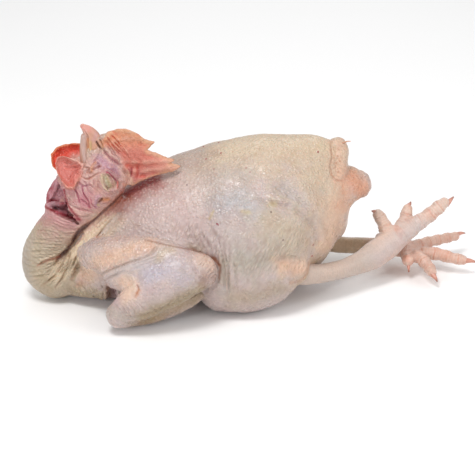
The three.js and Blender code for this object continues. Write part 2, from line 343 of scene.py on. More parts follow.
def limb(stations, side=SIDEWAYS, facing=None, sides=40, steps=8, domes=(0.9, 0.9), swell=None):
    """A closed limb with oval sections and domed ends, as points, quads and triangles.

    Its sections are square to its own line, or to the direction that facing gives.
    swell takes the distance along the limb and gives what is added to its half sizes there.
    """
    rings = smoothed(stations, steps)
    centres = rings[:, :3]
    sizes = rings[:, 3:]
    if swell is not None:
        length = np.concatenate([[0], np.cumsum(np.linalg.norm(np.diff(centres, axis=0), axis=1))])
        sizes = sizes + swell(length)[:, None]
    if facing is None:
        along = unit(np.gradient(centres, axis=0))
    else:
        along = np.tile(np.array(facing, float), (len(centres), 1))
    side = np.array(side, float)
    wide = unit(side - (along @ side)[:, None] * along)
    tall = np.cross(along, wide)
    turn = np.arange(1, DOME_STEPS) / DOME_STEPS * np.pi / 2
    reach = [domes[k] * sizes[-k].mean() for k in (0, 1)]
    order = [0] * len(turn) + list(range(len(rings))) + [len(rings) - 1] * len(turn)
    shift = np.concatenate([-reach[0] * np.sin(turn[::-1]), np.zeros(len(rings)), reach[1] * np.sin(turn)])
    scale = np.concatenate([np.cos(turn[::-1]), np.ones(len(rings)), np.cos(turn)])
    middle = centres[order] + shift[:, None] * along[order]
    angle = np.arange(sides) * 2 * np.pi / sides
    half_width = np.outer(sizes[order, 0] * scale, np.cos(angle))
    half_height = np.outer(sizes[order, 1] * scale, np.sin(angle))
    out = half_width[..., None] * wide[order][:, None] + half_height[..., None] * tall[order][:, None]
    body = (middle[:, None] + out).reshape(-1, 3)
    tips = np.array([centres[0] - reach[0] * along[0], centres[-1] + reach[1] * along[-1]])
    ring, j = np.meshgrid(np.arange(len(order) - 1), np.arange(sides), indexing="ij")
    near = ring * sides + j
    next_near = ring * sides + (j + 1) % sides
    quads = np.stack([near, next_near, next_near + sides, near + sides], -1).reshape(-1, 4)
    one = np.arange(sides)
    two = (one + 1) % sides
    start, end = len(body), len(body) + 1
    last = (len(order) - 1) * sides
    triangles = np.vstack([
        np.stack([np.full(sides, start), two, one], -1),
        np.stack([np.full(sides, end), last + one, last + two], -1),
    ])
    return np.vstack([body, tips]), quads, triangles


class Flesh:
    """Signed distances to one soft form, on a regular grid, in millimetres. They are negative inside."""

    def __init__(self, low, high, pitch):
        self.pitch = pitch
        self.low = np.floor(np.array(low) / pitch).astype(int)
        self.high = np.ceil(np.array(high) / pitch).astype(int) + 1
        self.values = np.full(self.high - self.low, BAND, np.float32)

    def window(self, low, high):
        """The grid's first index in a box, the part of the grid there, and its nodes' coordinates."""
        first = np.floor(np.array(low) / self.pitch).astype(int)
        last = np.ceil(np.array(high) / self.pitch).astype(int) + 1
        first = np.minimum(np.maximum(first, self.low), self.high)
        last = np.maximum(np.minimum(last, self.high), first)
        places = np.ogrid[tuple(slice(a, b) for a, b in zip(first, last))]
        part = tuple(slice(a, b) for a, b in zip(first - self.low, last - self.low))
        return first, part, [axis * np.float32(self.pitch) for axis in places]

    def join(self, shape, soft):
        """Joins a closed mesh on, with a fillet as wide as soft says, a number or a function of place."""
        points, quads, triangles = shape
        margin = BAND + self.pitch
        first, part, places = self.window(points.min(0) - margin, points.max(0) + margin)
        distance = np.empty(self.values[part].shape, np.float32)
        if distance.size == 0:
            return
        grid = openvdb.FloatGrid.createLevelSetFromPolygons(
            points.astype(np.float32),
            triangles=triangles.astype(np.uint32),
            quads=quads.astype(np.uint32),
            transform=openvdb.createLinearTransform(voxelSize=self.pitch),
            halfWidth=BAND / self.pitch,
        )
        grid.copyToArray(distance, ijk=tuple(int(k) for k in first))
        width = soft(*places) if callable(soft) else soft
        self.values[part] = soft_least(self.values[part], distance, width)

    def join_flesh(self, other, soft):
        """Joins another form on the same grid, with a fillet as wide as soft says at each place."""
        _, _, places = self.window(self.low * self.pitch, self.high * self.pitch)
        self.values = soft_least(self.values, other.values, soft(*places))

    def shape_by(self, low, high, change):
        """Changes the distances in a box by a function of the old distances and the place."""
        _, part, places = self.window(low, high)
        if self.values[part].size:
            self.values[part] = change(self.values[part], *places)

    def soften(self, spread):
        """Rounds the whole form off, over a given distance."""
        left = 2 * (spread / self.pitch) ** 2
        while left >= 1:
            stride = min(3, int(left ** 0.5))
            left -= stride ** 2
            for axis in range(3):
                values = np.moveaxis(self.values, axis, 0)
                beside = values[:-2 * stride] + values[2 * stride:]
                values[stride:-stride] = 0.5 * values[stride:-stride] + 0.25 * beside

    def touch(self, view, across, down):
        """The first place where a view meets the form."""
        eye, direction = view.sight(across, down)
        reach = np.arange(CAMERA_DISTANCE - SIGHT_REACH, CAMERA_DISTANCE + SIGHT_REACH, SIGHT_STEP)
        places = eye + reach[:, None] * direction
        index = np.round(places / self.pitch).astype(int) - self.low
        held = ((index >= 0) & (index < self.values.shape)).all(1)
        met = np.argmax(self.values[tuple(index[held].T)] < 0)
        return places[held][met]

    def rope(self, line, half, sunk, soft):
        """Joins a round fold of skin on both sides of the head, along places that the left view meets."""
        places = np.array([self.touch(LEFT, *place) for place in line]) - sunk * LEFT.back
        halves = np.full((len(line), 1), half) if np.isscalar(half) else np.array(half)[:, None]
        rope = np.hstack([places, halves, halves])
        other = rope.copy()
        other[:, 1] = 2 * HEAD_PLANE - other[:, 1]
        self.join(limb(rope, side=LEFT.back, sides=20), soft)
        self.join(limb(other, side=LEFT.back * (1, -1, 1), sides=20), soft)

    def mesh(self):
        """The points and quads of the surface."""
        grid = openvdb.FloatGrid(BAND)
        grid.copyFromArray(self.values, ijk=tuple(int(k) for k in self.low))
        points, quads = grid.convertToQuads(isovalue=0)
        return points * self.pitch, quads


def soft_least(first, second, width):
    """The lesser of two distances, with a rounded fillet where they are nearly equal."""
    overlap = np.maximum(width - np.abs(first - second), 0)
    return np.minimum(first, second) - overlap * overlap / (4 * np.maximum(width, 0.01))


def soft_most(first, second, width):
    """The greater of two distances, with a rounded edge where they are nearly equal."""
    return -soft_least(-first, -second, width)


def near(centre, radius):
    """A function of place that is 1 at a centre and falls smoothly to 0 around a radius."""
    def weight(x, y, z):
        squared = (x - centre[0]) ** 2 + (y - centre[1]) ** 2 + (z - centre[2]) ** 2
        return np.exp(-squared / (radius * radius))
    return weight


def outline_distance(outline, u, v):
    """Signed distance in a plane to a closed outline, negative inside."""
    points = np.array(outline, np.float32)
    ends = np.roll(points, -1, axis=0)
    least = np.full(np.broadcast(u, v).shape, np.inf, np.float32)
    inside = np.zeros(least.shape, bool)
    for (a, b), (c, d) in zip(points, ends):
        t = clipped(((u - a) * (c - a) + (v - b) * (d - b)) / ((c - a) ** 2 + (d - b) ** 2))
        least = np.minimum(least, (u - a - t * (c - a)) ** 2 + (v - b - t * (d - b)) ** 2)
        if b != d:
            crosses = ((v < b) != (v < d)) & (u < a + (v - b) * (c - a) / (d - b))
            inside ^= crosses
    return np.where(inside, -np.sqrt(least), np.sqrt(least))


LEFT = View(-5, 24)
RIGHT = View(-5, 24, mirror=0)
FACE_RIGHT = View(-5, 24, mirror=HEAD_PLANE)
NECK_RIGHT = View(-5, 24, mirror=NECK_PLANE)
REAR = View(90, 10)

# The boxes that the pieces are meshed in, and the pitch of their grids.
BODY_BOX = ((-152, -84, -4), (124, 84, 144), 0.8)
HEAD_BOX = ((-184, -56, -4), (-34, 26, 164), 0.6)
NEAR_WING_BOX = ((-132, -106, -4), (-8, -24, 92), 0.6)
FAR_WING_BOX = ((-132, 24, -4), (-8, 106, 92), 0.6)
NEAR_FOOT_BOX = ((34, -66, 4), (202, 34, 82), 0.6)
FAR_FOOT_BOX = ((34, -26, -2), (220, 66, 50), 0.6)
BEAK_BOX = ((-134, -40, 110), (-94, -4, 164), 0.4)

# The order in which the skin's forms are given.
TORSO, WINGS, HEAD_AND_NECK = range(3)


def join_comb(old, x, y, z):
    """Joins the comb on: a thin waved blade, thicker at its root on the skull."""
    flat = outline_distance(COMB_OUTLINE, x, z)
    away = from_skull(x, z)
    long_wave = 1.7 * np.sin((x + 100) / 9.0 + (z - 120) / 14.0)
    short_wave = 0.7 * np.sin((z - 118) / 3.6 + (x + 90) / 11)
    wave = clipped((away - 14) / 20) * (long_wave + short_wave)
    half_thick = np.clip(4.4 - away * 0.055, 1.6, 4.2) * np.clip(0.72 - flat / 8, 0.72, 1)
    across = np.abs(y - HEAD_PLANE - wave) - half_thick
    return soft_least(old, soft_most(flat.astype(np.float32), across.astype(np.float32), 1.4), 4)


def leaf(outline, middle, cup, half_thick):
    """A change that joins a cupped leaf of skin with a rolled rim on, outlined as the left view shows it."""
    def change(old, x, y, z):
        across, down, toward = LEFT.places(x, y, z)
        flat = outline_distance(outline, across, down) * STEP
        bowl = middle - cup * clipped((-flat - 1) / 5) ** 0.7
        bowl = bowl + 0.9 * np.sin(across / 2.6 - down / 4.0) * clipped(-flat / 3)
        thick = half_thick + 0.7 * bell((flat + 1.3) / 1.2)
        return soft_least(old, soft_most(flat, np.abs(toward - bowl) - thick, 1.2).astype(np.float32), 2.5)
    return change


def cut_throat(old, x, y, z):
    """Opens the throat from the left side down to the skin of the right side."""
    gap = outline_distance(THROAT_GAP, x, z) + 0.7 * np.sin(z * 1.3 + y * 0.4) * np.sin(x * 0.9 - y * 0.5)
    hollow = soft_most(gap, y - THROAT_FAR_WALL - 0.06 * (z - 90), 5)
    return soft_most(old, -hollow, 1.2)


def torso_form(box):
    """Trunk, rump, breast, thighs and tail."""
    form = Flesh(*box)
    form.join(limb(TRUNK, facing=LENGTHWAYS, sides=64, domes=(0.6, 0.36)), 0)
    form.join(limb(RUMP, facing=LENGTHWAYS, sides=64, domes=(0.4, 0.4)), 14)
    form.join(limb(CROP, facing=LENGTHWAYS, sides=64, domes=(0.6, 0.5)), 14)
    for side in (list, other_side):
        form.join(limb(side(THIGH), sides=64), 12)
        form.join(limb(side(DRUMSTICK), sides=48), 8)
        form.join(limb(side(BREAST_SIDE)), 12)
    form.soften(2.2)
    form.join(limb(VENT_LIP, facing=LENGTHWAYS, domes=(0.5, 0.7)), 11)
    form.join(limb(TAIL_PAD, domes=(0.6, 0.7)), 2)
    return form


def wings_form(box):
    """Both folded wings."""
    form = Flesh(*box)
    for side in (list, other_side):
        form.join(limb(side(UPPER_ARM)), 8)
        form.join(limb(side(WING_WEB)), 9)
        form.join(limb(side(FOREARM)), 7)
        form.join(limb(side(HAND), sides=32, domes=(0.9, 1.2)), 5)
    form.soften(0.9)
    return form


def face_details(form):
    """Shreds in the throat, both wattles, and folds on both sides of the head."""
    for shred in SHREDS:
        form.join(limb(round_sections(shred), side=(0.6, 1, 0.3), sides=16), 1.2)
    form.shape_by((-150, -44, 96), (-112, -14, 140), leaf(NEAR_WATTLE, 69.5, 5.0, 1.5))
    form.shape_by((-154, -24, 104), (-112, 8, 148), leaf(FAR_WATTLE, 53.5, 3.5, 1.5))
    for fold in FACE_FOLDS:
        form.rope(*fold)


def head_form(box, detailed):
    """The folded neck with the opened throat, the head and the comb."""
    form = Flesh(*box)
    form.join(limb(NECK_DOWN), 0)
    hairpin = near((-152, -12, 24), 20)
    form.join(limb(NECK_UP), lambda x, y, z: 1.5 + 12 * hairpin(x, y, z))
    form.join(limb(NECK_ROLL), 1.2)
    form.join(limb(HEAD), 9)
    form.join(limb(GAPE), 3)
    form.join(limb(KNOB, sides=24), 3)
    for y in (-34, HEAD_PLANE * 2 + 34):
        cheek = [(-103, y, 106, 7, 4), (-102, y, 114, 8, 5), (-102, y, 121, 7, 4)]
        form.join(limb(cheek, facing=(0, 0, 1)), 5)
    form.shape_by((-175, -45, 66), (-118, 4, 122), cut_throat)
    form.shape_by((-114, -34, 96), (-36, -10, 158), join_comb)
    if detailed:
        face_details(form)
    return form


def bird_parts(box, detailed=False):
    """The whole skin without the feet, and the distances to the three forms that it is joined from."""
    torso = torso_form(box)
    wings = wings_form(box)
    head = head_form(box, detailed)
    whole = Flesh(*box)
    whole.values = torso.values.copy()
    shoulders = [near((-112, y, 50), 22) for y in (-38, 38)]
    whole.join_flesh(wings, lambda x, y, z: 1.2 + 12 * (shoulders[0](x, y, z) + shoulders[1](x, y, z)))
    neck_root = near((-66, -5, 84), 26)
    whole.join_flesh(head, lambda x, y, z: 1.6 + 12 * neck_root(x, y, z))
    whole.shape_by((-186, -106, -5), (126, 106, 8), lambda old, x, y, z: soft_most(old, -z, 3))
    return whole, torso.values, wings.values, head.values


def skin_form(box, own, detailed=False):
    """The skin where it belongs to one of the three forms, and a little more of it, sunk under the others."""
    whole, *forms = bird_parts(box, detailed)
    past = forms.pop(own) - np.minimum(*forms)
    whole.values = np.maximum(whole.values + 0.25 * np.clip(past, 0, 2), past - 2.5)
    return whole


# Creases: depth and half width in millimetres, then the places that they run through in a view.
ARMPIT = (1.8, 1.8, [(78, 264), (76, 271), (72, 279)])
NECK_CREASES = {
    "against the breast": (1.0, 0.9, [(122, 194), (111, 205), (102, 213), (93, 221), (85, 227), (79, 232),
                                      (73, 242), (68, 249), (62, 254), (57, 259)]),
    "crease pit high": (1.2, 1.5, [(85, 226.5), (79.5, 231.5), (75.5, 236), (73.5, 240)]),
    "crease pit low": (1.0, 1.2, [(69, 248), (64.5, 252.5), (60, 257)]),
    "armpit": ARMPIT,
    "crease end": (1.4, 1.0, [(60, 256), (52, 259), (44, 262), (37, 266)]),
    "strip fold": (0.8, 0.9, [(122, 210), (114, 220), (108, 227), (100, 234), (91, 240), (84, 247),
        (78, 255),
                              (74, 262), (69, 272)]),
    "strip nick high": (1.3, 0.8, [(103, 232), (97, 237)]),
    "strip nick middle": (1.1, 0.8, [(87, 243), (84, 247)]),
    "strip nick low": (1.5, 0.9, [(76, 256), (74, 262), (73, 267)]),
    "fan 1": (1.2, 0.7, [(67, 254), (61, 266), (54, 276), (44, 284)]),
    "fan 2": (1.2, 0.7, [(71, 252), (67, 266), (62, 278), (55, 288)]),
    "fan 3": (1.1, 0.8, [(60, 258), (52, 268), (43, 275), (33, 277)]),
}
FACE_CREASES = {
    "comb root": (1.7, 1.0, [(99, 139), (101, 144), (106, 153), (112, 159), (117.5, 163), (124, 170),
        (128, 177), (129, 184)]),
    "comb pit": (1.1, 0.7, [(131.3, 168), (131.6, 172), (130.8, 176.3)]),
    "comb pit side": (0.7, 0.6, [(128.8, 169.2), (129.6, 171.5)]),
    "comb pit ridge": (-0.7, 0.8, [(134, 166), (135.5, 171.5), (134, 178)]),
    "comb pit line": (0.7, 0.7, [(137.5, 167), (138.5, 172), (137, 178)]),
    "cere": (1.0, 0.8, [(101, 139), (98, 144), (101, 150), (97, 158), (92, 163)]),
    "nostril": (1.6, 0.8, [(96.5, 141.5), (99, 145.5), (101.5, 149)]),
    "beak root 1": (1.0, 0.7, [(79, 161.5), (85, 162.5), (84, 167), (89, 168), (87, 172.5), (92, 172.5)]),
    "beak root 2": (1.0, 0.7, [(92, 170.5), (96, 168), (101, 166)]),
    "beak root 3": (1.0, 0.7, [(82, 177), (87.5, 179), (95, 175), (99, 173)]),
    "beak root 4": (0.9, 0.7, [(85, 167), (81, 172), (79, 179)]),
    "beak root 5": (0.9, 0.7, [(96, 161), (99, 165), (97, 170)]),
    "lid gap": (0.8, 0.6, [(103.2, 175.5), (103.6, 181.5), (106.2, 187), (109, 189.3)]),
    "lid top": (0.7, 0.6, [(106, 173.2), (110, 176.8), (112.6, 181), (113, 187)]),
    "eye ring": (0.7, 0.7, [(98.5, 174), (97.5, 181), (99.5, 189), (105, 194), (113, 195), (119.5, 189),
        (119, 180), (113, 172)]),
    "outer ring": (0.6, 0.9, [(95, 178), (95, 187), (99, 193), (106, 198)]),
    "lid fold": (0.8, 0.6, [(107.5, 172.2), (111.5, 175.2), (116, 180.2), (117.4, 186)]),
    "cheek 1": (0.9, 0.6, [(74, 188), (77.5, 194.5), (79.5, 202.5)]),
    "cheek 2": (0.9, 0.6, [(82, 187), (84, 194.5), (88.5, 201.5), (90, 207)]),
    "cheek 3": (0.8, 0.6, [(80, 199), (86.5, 203.5), (90.5, 208.5)]),
    "cheek 4": (0.7, 0.6, [(91, 199), (92, 204.5), (96.5, 208)]),
    "cheek 5": (1.0, 0.8, [(66, 201), (74, 207), (83, 210), (92, 211.5)]),
    "cheek 6": (0.9, 0.8, [(65, 208), (72, 214.5), (80, 217), (90, 217)]),
    "cheek 7": (0.9, 0.7, [(77, 181), (83, 186), (90, 185.5), (95, 189)]),
    "cheek 8": (0.8, 0.8, [(64, 192), (69, 200), (76, 206)]),
    "cheek 9": (0.8, 0.7, [(85, 181), (88, 190), (93, 195)]),
    "ear": (1.6, 0.9, [(102.5, 198), (100, 200.8), (98.8, 202.6)]),
    "brow fold": (0.9, 0.9, [(104, 162), (108, 168), (115, 171), (121, 178), (123, 187)]),
    "comb fold 1": (-0.6, 1.8, [(110, 153), (124, 162), (148, 162), (176, 161)]),
    "comb fold 2": (-0.5, 1.8, [(108, 143), (122, 139), (140, 139), (156, 143)]),
    "comb fold 3": (-0.5, 1.7, [(118, 166), (134, 171), (150, 170), (170, 167)]),
    "comb dip 1": (0.3, 1.5, [(110, 148), (126, 154), (146, 156), (165, 157)]),
    "comb dip 2": (0.3, 1.5, [(122, 172), (138, 177), (152, 174)]),
    "comb wrinkle 4": (0.8, 0.7, [(109, 152), (116, 156), (121, 162)]),
    "wattle fold 1": (0.9, 0.8, [(82, 166), (72, 168), (64, 167)]),
    "wattle fold 2": (0.9, 0.8, [(80, 168), (73, 174), (69, 181)]),
    "wattle fold 3": (0.7, 0.8, [(78, 163), (69, 163), (62, 161)]),
}
WING_CREASES = {
    "upper arm edge": (1.5, 1.2, [(157, 243), (155, 248), (149, 255), (134, 261), (119, 266.5),
        (109.5, 270.5), (96, 277)]),
    "wrist edge": (0.4, 1.8, [(120, 276), (129, 273), (138, 279), (139, 290), (133, 299)]),
    "wrist nick": (0.7, 0.6, [(136, 284), (139, 288), (137, 293), (133, 298)]),
    "elbow ring": (0.7, 1.6, [(194, 253), (193, 264), (198, 276), (206, 285)]),
    "hand edge": (0.7, 1.0, [(118, 318), (142, 316), (166, 307), (190, 297), (205, 288)]),
}
BODY_CREASES = {
    "thigh bank": (-0.8, 2.2, [(262, 196), (276, 199), (289, 201), (299, 206), (308, 214), (316, 222),
        (321, 232)]),
    "thigh edge": (1.1, 2.1, [(252, 199.5), (263, 201), (275, 204), (285, 205.5), (295, 209), (303, 217),
        (311, 223),
                              (316, 232), (318, 242), (313, 253)]),
    "flank fold 1": (1.4, 0.8, [(225, 254), (227, 266), (228.5, 280), (229, 296)]),
    "flank fold 2": (1.0, 0.9, [(222, 255), (224, 268), (224.5, 290)]),
    "flank fold 3": (0.9, 1.0, [(233, 262), (236, 276), (237, 294)]),
    "thigh front": (0.8, 2.5, [(214, 194), (207, 208), (209, 226), (219, 244)]),
    "side hollow": (0.8, 5.0, [(235, 170), (258, 174), (280, 184), (300, 196)]),
    "hock edge": (0.6, 1.4, [(276, 262), (281, 272), (290, 281), (300, 280), (307, 274), (309, 266)]),
    "hock top": (0.9, 1.5, [(280, 259), (292, 257), (304, 259)]),
    "rear thigh": (0.9, 2.2, [(323, 222), (330, 237), (328, 252)]),
    "vent root": (0.35, 1.8, [(344, 181), (343, 189), (346, 197), (350, 201)]),
    "tail side": (0.7, 0.9, [(332, 139), (330.5, 147), (332.5, 156), (330.5, 166), (332, 175),
        (337, 180.5), (343, 180.5)]),
    "pocket": (6.0, 3.0, [(109, 286), (112, 293), (110, 301), (107, 308)]),
    "pocket bank": (1.2, 1.2, [(101, 284), (104, 294), (103, 305)]),
    "armpit": ARMPIT,
    "shoulder fold": (0.8, 1.6, [(130, 222), (118, 232), (106, 241), (95, 250)]),
}
REAR_CREASES = {
    "vent slit": (0.9, 1.0, [(225, 191.5), (231, 193), (237.5, 193.5), (244, 193), (250, 191.5)]),
    "vent fold": (0.5, 1.8, [(214, 205), (224, 210), (237.5, 212), (251, 210), (261, 205)]),
    "tail groove": (0.7, 1.6, [(237.5, 146), (237.5, 158), (237.5, 168)]),
}

# Sets of wrinkles that fan from one line to another: how many, depth, half width, and the two lines.
NECK_WRINKLES = {
    "under the cut": (8, 0.45, 0.6, [(42, 209), (55, 215), (68, 222), (84, 226)], [(36, 228), (50, 230),
        (66, 232), (80, 231)]),
    "side": (12, 0.8, 0.7, [(34, 229), (50, 231), (66, 233), (79, 232)], [(26, 258), (40, 258), (50, 257),
        (60, 254)]),
    "bend": (15, 0.85, 0.75, [(26, 262), (38, 264), (48, 262), (59, 257)], [(53, 292), (61, 284),
        (69, 272), (76, 257)]),
    "strip high": (3, 0.5, 0.8, [(121, 197), (106, 213), (92, 225), (82, 235)], [(122, 207), (110, 223),
        (98, 234), (88, 243)]),
    "strip low": (5, 1.0, 0.8, [(79, 236), (72, 247), (65, 262), (54, 276)], [(86, 243), (79, 252),
        (74, 264), (67, 278)]),
    "strip nicks": (13, 0.45, 0.6, [(117, 199), (119, 212)], [(78, 235), (84, 247)]),
}
FACE_WRINKLES = {
    "comb ripples": (6, 1.0, 0.6, [(101, 139), (107, 149), (114, 156), (121, 161)], [(111, 134),
        (118, 141), (124, 149), (130, 158)]),
}
WING_WRINKLES = {
    "web": (9, 0.6, 0.7, [(156, 249), (150, 257), (134, 263), (112, 272), (98, 279)],
            [(170, 257), (154, 264), (134, 270), (118, 277), (104, 284)]),
    "elbow": (9, 0.5, 0.6, [(208, 252), (196, 264)], [(221, 270), (209, 282)]),
    "tip": (7, 0.5, 0.8, [(112, 300), (120, 312), (124, 322)], [(134, 296), (142, 306), (146, 318)]),
    "low edge": (8, 0.5, 0.8, [(146, 310), (154, 316)], [(196, 288), (204, 292)]),
}
BODY_WRINKLES = {
    "drumstick": (13, 0.4, 0.8, [(236, 244), (233, 262), (232, 284)], [(279, 244), (266, 262), (256, 287)]),
    "low thigh": (9, 0.35, 0.8, [(282, 234), (272, 252), (262, 274)], [(305, 238), (296, 250), (284, 262)]),
    "flank": (5, 0.5, 0.8, [(218, 236), (221, 256), (222, 288)], [(231, 240), (230, 262), (231, 290)]),
    "skin rows": (12, 0.22, 1.0, [(210, 176), (240, 196), (276, 222), (300, 240)], [(262, 166), (282, 180),
        (304, 200), (322, 226)]),
    "above the wing": (8, 0.45, 0.9, [(184, 220), (188, 236), (196, 249)], [(206, 226), (208, 240),
        (213, 255)]),
    "shoulder": (6, 0.4, 1.0, [(132, 212), (118, 228), (100, 243)], [(142, 226), (128, 238), (108, 250)]),
    "under the crop": (7, 0.6, 0.9, [(70, 282), (78, 290), (86, 300)], [(98, 278), (103, 290), (106, 302)]),
}


def noise(points, size, seed):
    """Smooth noise between -1 and 1 at points, with lumps of about a given size."""
    table = np.random.default_rng(seed).uniform(-1, 1, (NOISE_CELLS,) * 3).astype(np.float32)
    place = points / size + 100
    cell = np.floor(place).astype(int)
    t = place - cell
    t = t * t * (3 - 2 * t)
    total = 0
    for corner in np.ndindex(2, 2, 2):
        weight = np.prod(np.where(corner, t, 1 - t), axis=1)
        x, y, z = ((cell + corner) % NOISE_CELLS).T
        total = total + weight * table[x, y, z]
    return total


def along_limb(points, stations):
    """Each point's distance to a limb's own line, and how far along the line its nearest place lies."""
    line = smoothed(stations, 6)[:, :3]
    nearest = np.full(len(points), np.inf)
    length = np.zeros(len(points))
    run = 0
    for start, end in zip(line[:-1], line[1:]):
        step = end - start
        size = np.linalg.norm(step)
        t = clipped((points - start) @ step / (size * size))
        distance = np.linalg.norm(points - start - t[:, None] * step, axis=1)
        closer = distance < nearest
        nearest = np.where(closer, distance, nearest)
        length = np.where(closer, run + t * size, length)
        run += size
    return nearest, length


def wrinkle_lines(count, line_a, line_b, seed):
    """Lines spread between two, each shortened and bent a little at random."""
    chance = np.random.default_rng(seed)
    share = np.linspace(0, 1, WRINKLE_POINTS)
    ends = []
    for line in (line_a, line_b):
        curve = smoothed(line, 6)
        place = np.linspace(0, 1, len(curve))
        ends.append(np.stack([np.interp(share, place, curve[:, k]) for k in range(2)], -1))
    for i in range(count):
        mix = (i + 0.5 + chance.uniform(-0.35, 0.35)) / count
        bend = chance.uniform(-0.5, 0.5) / count * np.sin(share * np.pi * chance.uniform(1, 3))
        mix = (mix + bend)[:, None]
        line = ends[0] * (1 - mix) + ends[1] * mix
        start = int(chance.uniform(0, 4))
        end = int(chance.uniform(9, WRINKLE_POINTS + 1))
        yield line[start:end]


class Skin:
    """The points of a skin, its normals, and how far each point is pushed out or pressed in."""

    def __init__(self, points, normals):
        self.points = points
        self.normals = normals
        self.push = np.zeros(len(points))
        self.views = {}

    def seen(self, view):
        """The points' places in a view, and how they face it."""
        if view not in self.views:
            across, down, _ = view.places(*self.points.T)
            self.views[view] = np.stack([across, down], -1), view.facing(self.normals)
        return self.views[view]

    def by_line(self, view, line, reach):
        """Which points lie near a line in a view, how far from it, how far along it, and how well seen."""
        places, facing = self.seen(view)
        line = smoothed(line, 5) if 2 < len(line) <= MOST_SMOOTHED else np.array(line, float)
        margin = reach / STEP
        held = ((places > line.min(0) - margin) & (places < line.max(0) + margin)).all(1) & (facing > -0.1)
        chosen = np.flatnonzero(held)
        place = places[chosen]
        nearest = np.full(len(chosen), np.inf)
        along = np.zeros(len(chosen))
        for i, (start, end) in enumerate(zip(line[:-1], line[1:])):
            step = end - start
            t = clipped((place - start) @ step / (step @ step))
            distance = np.linalg.norm(place - start - t[:, None] * step, axis=1)
            closer = distance < nearest
            nearest = np.where(closer, distance, nearest)
            along = np.where(closer, (i + t) / (len(line) - 1), along)
        return chosen, nearest * STEP, along, clipped(facing[chosen] * 4 + 0.3)

    def press(self, view, line, depth, width):
        """Presses a crease in along a line, with soft banks beside it."""
        chosen, distance, along, seen = self.by_line(view, line, 4 * width + 1)
        ends = clipped(np.minimum(along, 1 - along) * 5)
        uneven = noise(self.points[chosen], 4.5, 90)
        distance = distance / (width * (1 + 0.35 * uneven))
        profile = -bell(distance) + 0.35 * bell(distance - 2)
        self.push[chosen] += depth * (1 + 0.4 * uneven) * profile * seen * ends * (2 - ends)

    def press_all(self, views, creases, wrinkles):
        for view in views:
            for depth, width, line in creases.values():
                self.press(view, line, depth, width)
            for seed, (count, depth, width, line_a, line_b) in enumerate(wrinkles.values()):
                for line in wrinkle_lines(count, line_a, line_b, seed + 1):
                    self.press(view, line, depth, width)

    def roughen(self, *lumps, where=1):
        """Adds smooth lumps, given as heights and sizes."""
        for seed, (height, size) in enumerate(lumps):
            self.push += height * noise(self.points, size, seed) * where


def comb_share(points):
    """1 on the comb's own flesh and 0 on the head, and the distance to the comb's outline."""
    x, y, z = points.T
    flat = outline_distance(COMB_OUTLINE, x, z)
    in_blade = clipped((8 - np.abs(y - HEAD_PLANE)) / 2)
    return clipped(1 - flat / 1.5) * clipped((from_skull(x, z) - 17) / 4) * in_blade, flat


def neck_rings(points):
    """Close wrinkles that run round the neck, between 0 and 1 in them."""
    rings = np.zeros(len(points))
    for stations, seed in ((NECK_UP[:7], 31), (NECK_DOWN, 32)):
        distance, length = along_limb(points, stations)
        wander = 3 * noise(points, 14, seed) + 0.8 * noise(points, 4, seed + 2)
        patchy = clipped(0.6 + 0.8 * noise(points, 9, seed + 4))
        ring = bands(length + wander, 3.1, 0.45) * patchy
        rings = np.maximum(rings, ring * clipped((24 - distance) / 4))
    return rings * clipped((88 - points[:, 2]) / 8)


def face_share(points):
    """1 on the head and 0 on the neck, also on the neck's root under the comb."""
    return clipped((points[:, 2] - 80) / 10) * clipped((-84 - points[:, 0]) / 5)


def face_veins(points):
    """A net of thin lines drawn out down the face, 1 in them."""
    down = np.array([0.4, 0, -0.92])
    places = points - 0.5 * (points @ down)[:, None] * down
    coarse = bell(noise(places, 3.4, 80) / 0.1)
    fine = bell(noise(places, 2.0, 81) / 0.13)
    return np.maximum(coarse, 0.7 * fine) * face_share(points)


def head_relief(skin):
    comb = comb_share(skin.points)[0]
    face = face_share(skin.points)
    skin.press_all([LEFT, NECK_RIGHT], NECK_CREASES, NECK_WRINKLES)
    skin.press_all([LEFT, FACE_RIGHT], FACE_CREASES, FACE_WRINKLES)
    skin.push -= 0.6 * neck_rings(skin.points) * (1 - face)
    skin.roughen((0.4, 12), (0.25, 5))
    skin.push -= 0.22 * face_veins(skin.points) * (1 - comb)
    skin.roughen((0.35, 2.6), where=np.maximum(comb, 0.8 * face))


def wing_relief(skin):
    skin.press_all([LEFT, RIGHT], WING_CREASES, WING_WRINKLES)
    skin.roughen((0.6, 18), (0.35, 7), (0.22, 3.2), (0.1, 1.6))


def body_relief(skin):
    skin.press_all([LEFT, RIGHT], BODY_CREASES, BODY_WRINKLES)
    skin.press_all([REAR], REAR_CREASES, {})
    skin.roughen((0.7, 24), (0.35, 9), (0.2, 3.6))


def beak_relief(skin):
    skin.press_all([LEFT, FACE_RIGHT], {
        "mouth": (1.3, 0.7, [(84.5, 131), (87.5, 137), (87.8, 147), (89.8, 154), (91.5, 163)]),
        "tomium": (0.5, 0.7, [(91, 139), (91, 148), (93.5, 155), (94, 162)]),
        "nostril": (1.3, 0.8, [(96, 141), (98.5, 145.5), (101, 149)]),
    }, {})
    skin.roughen((0.12, 3))


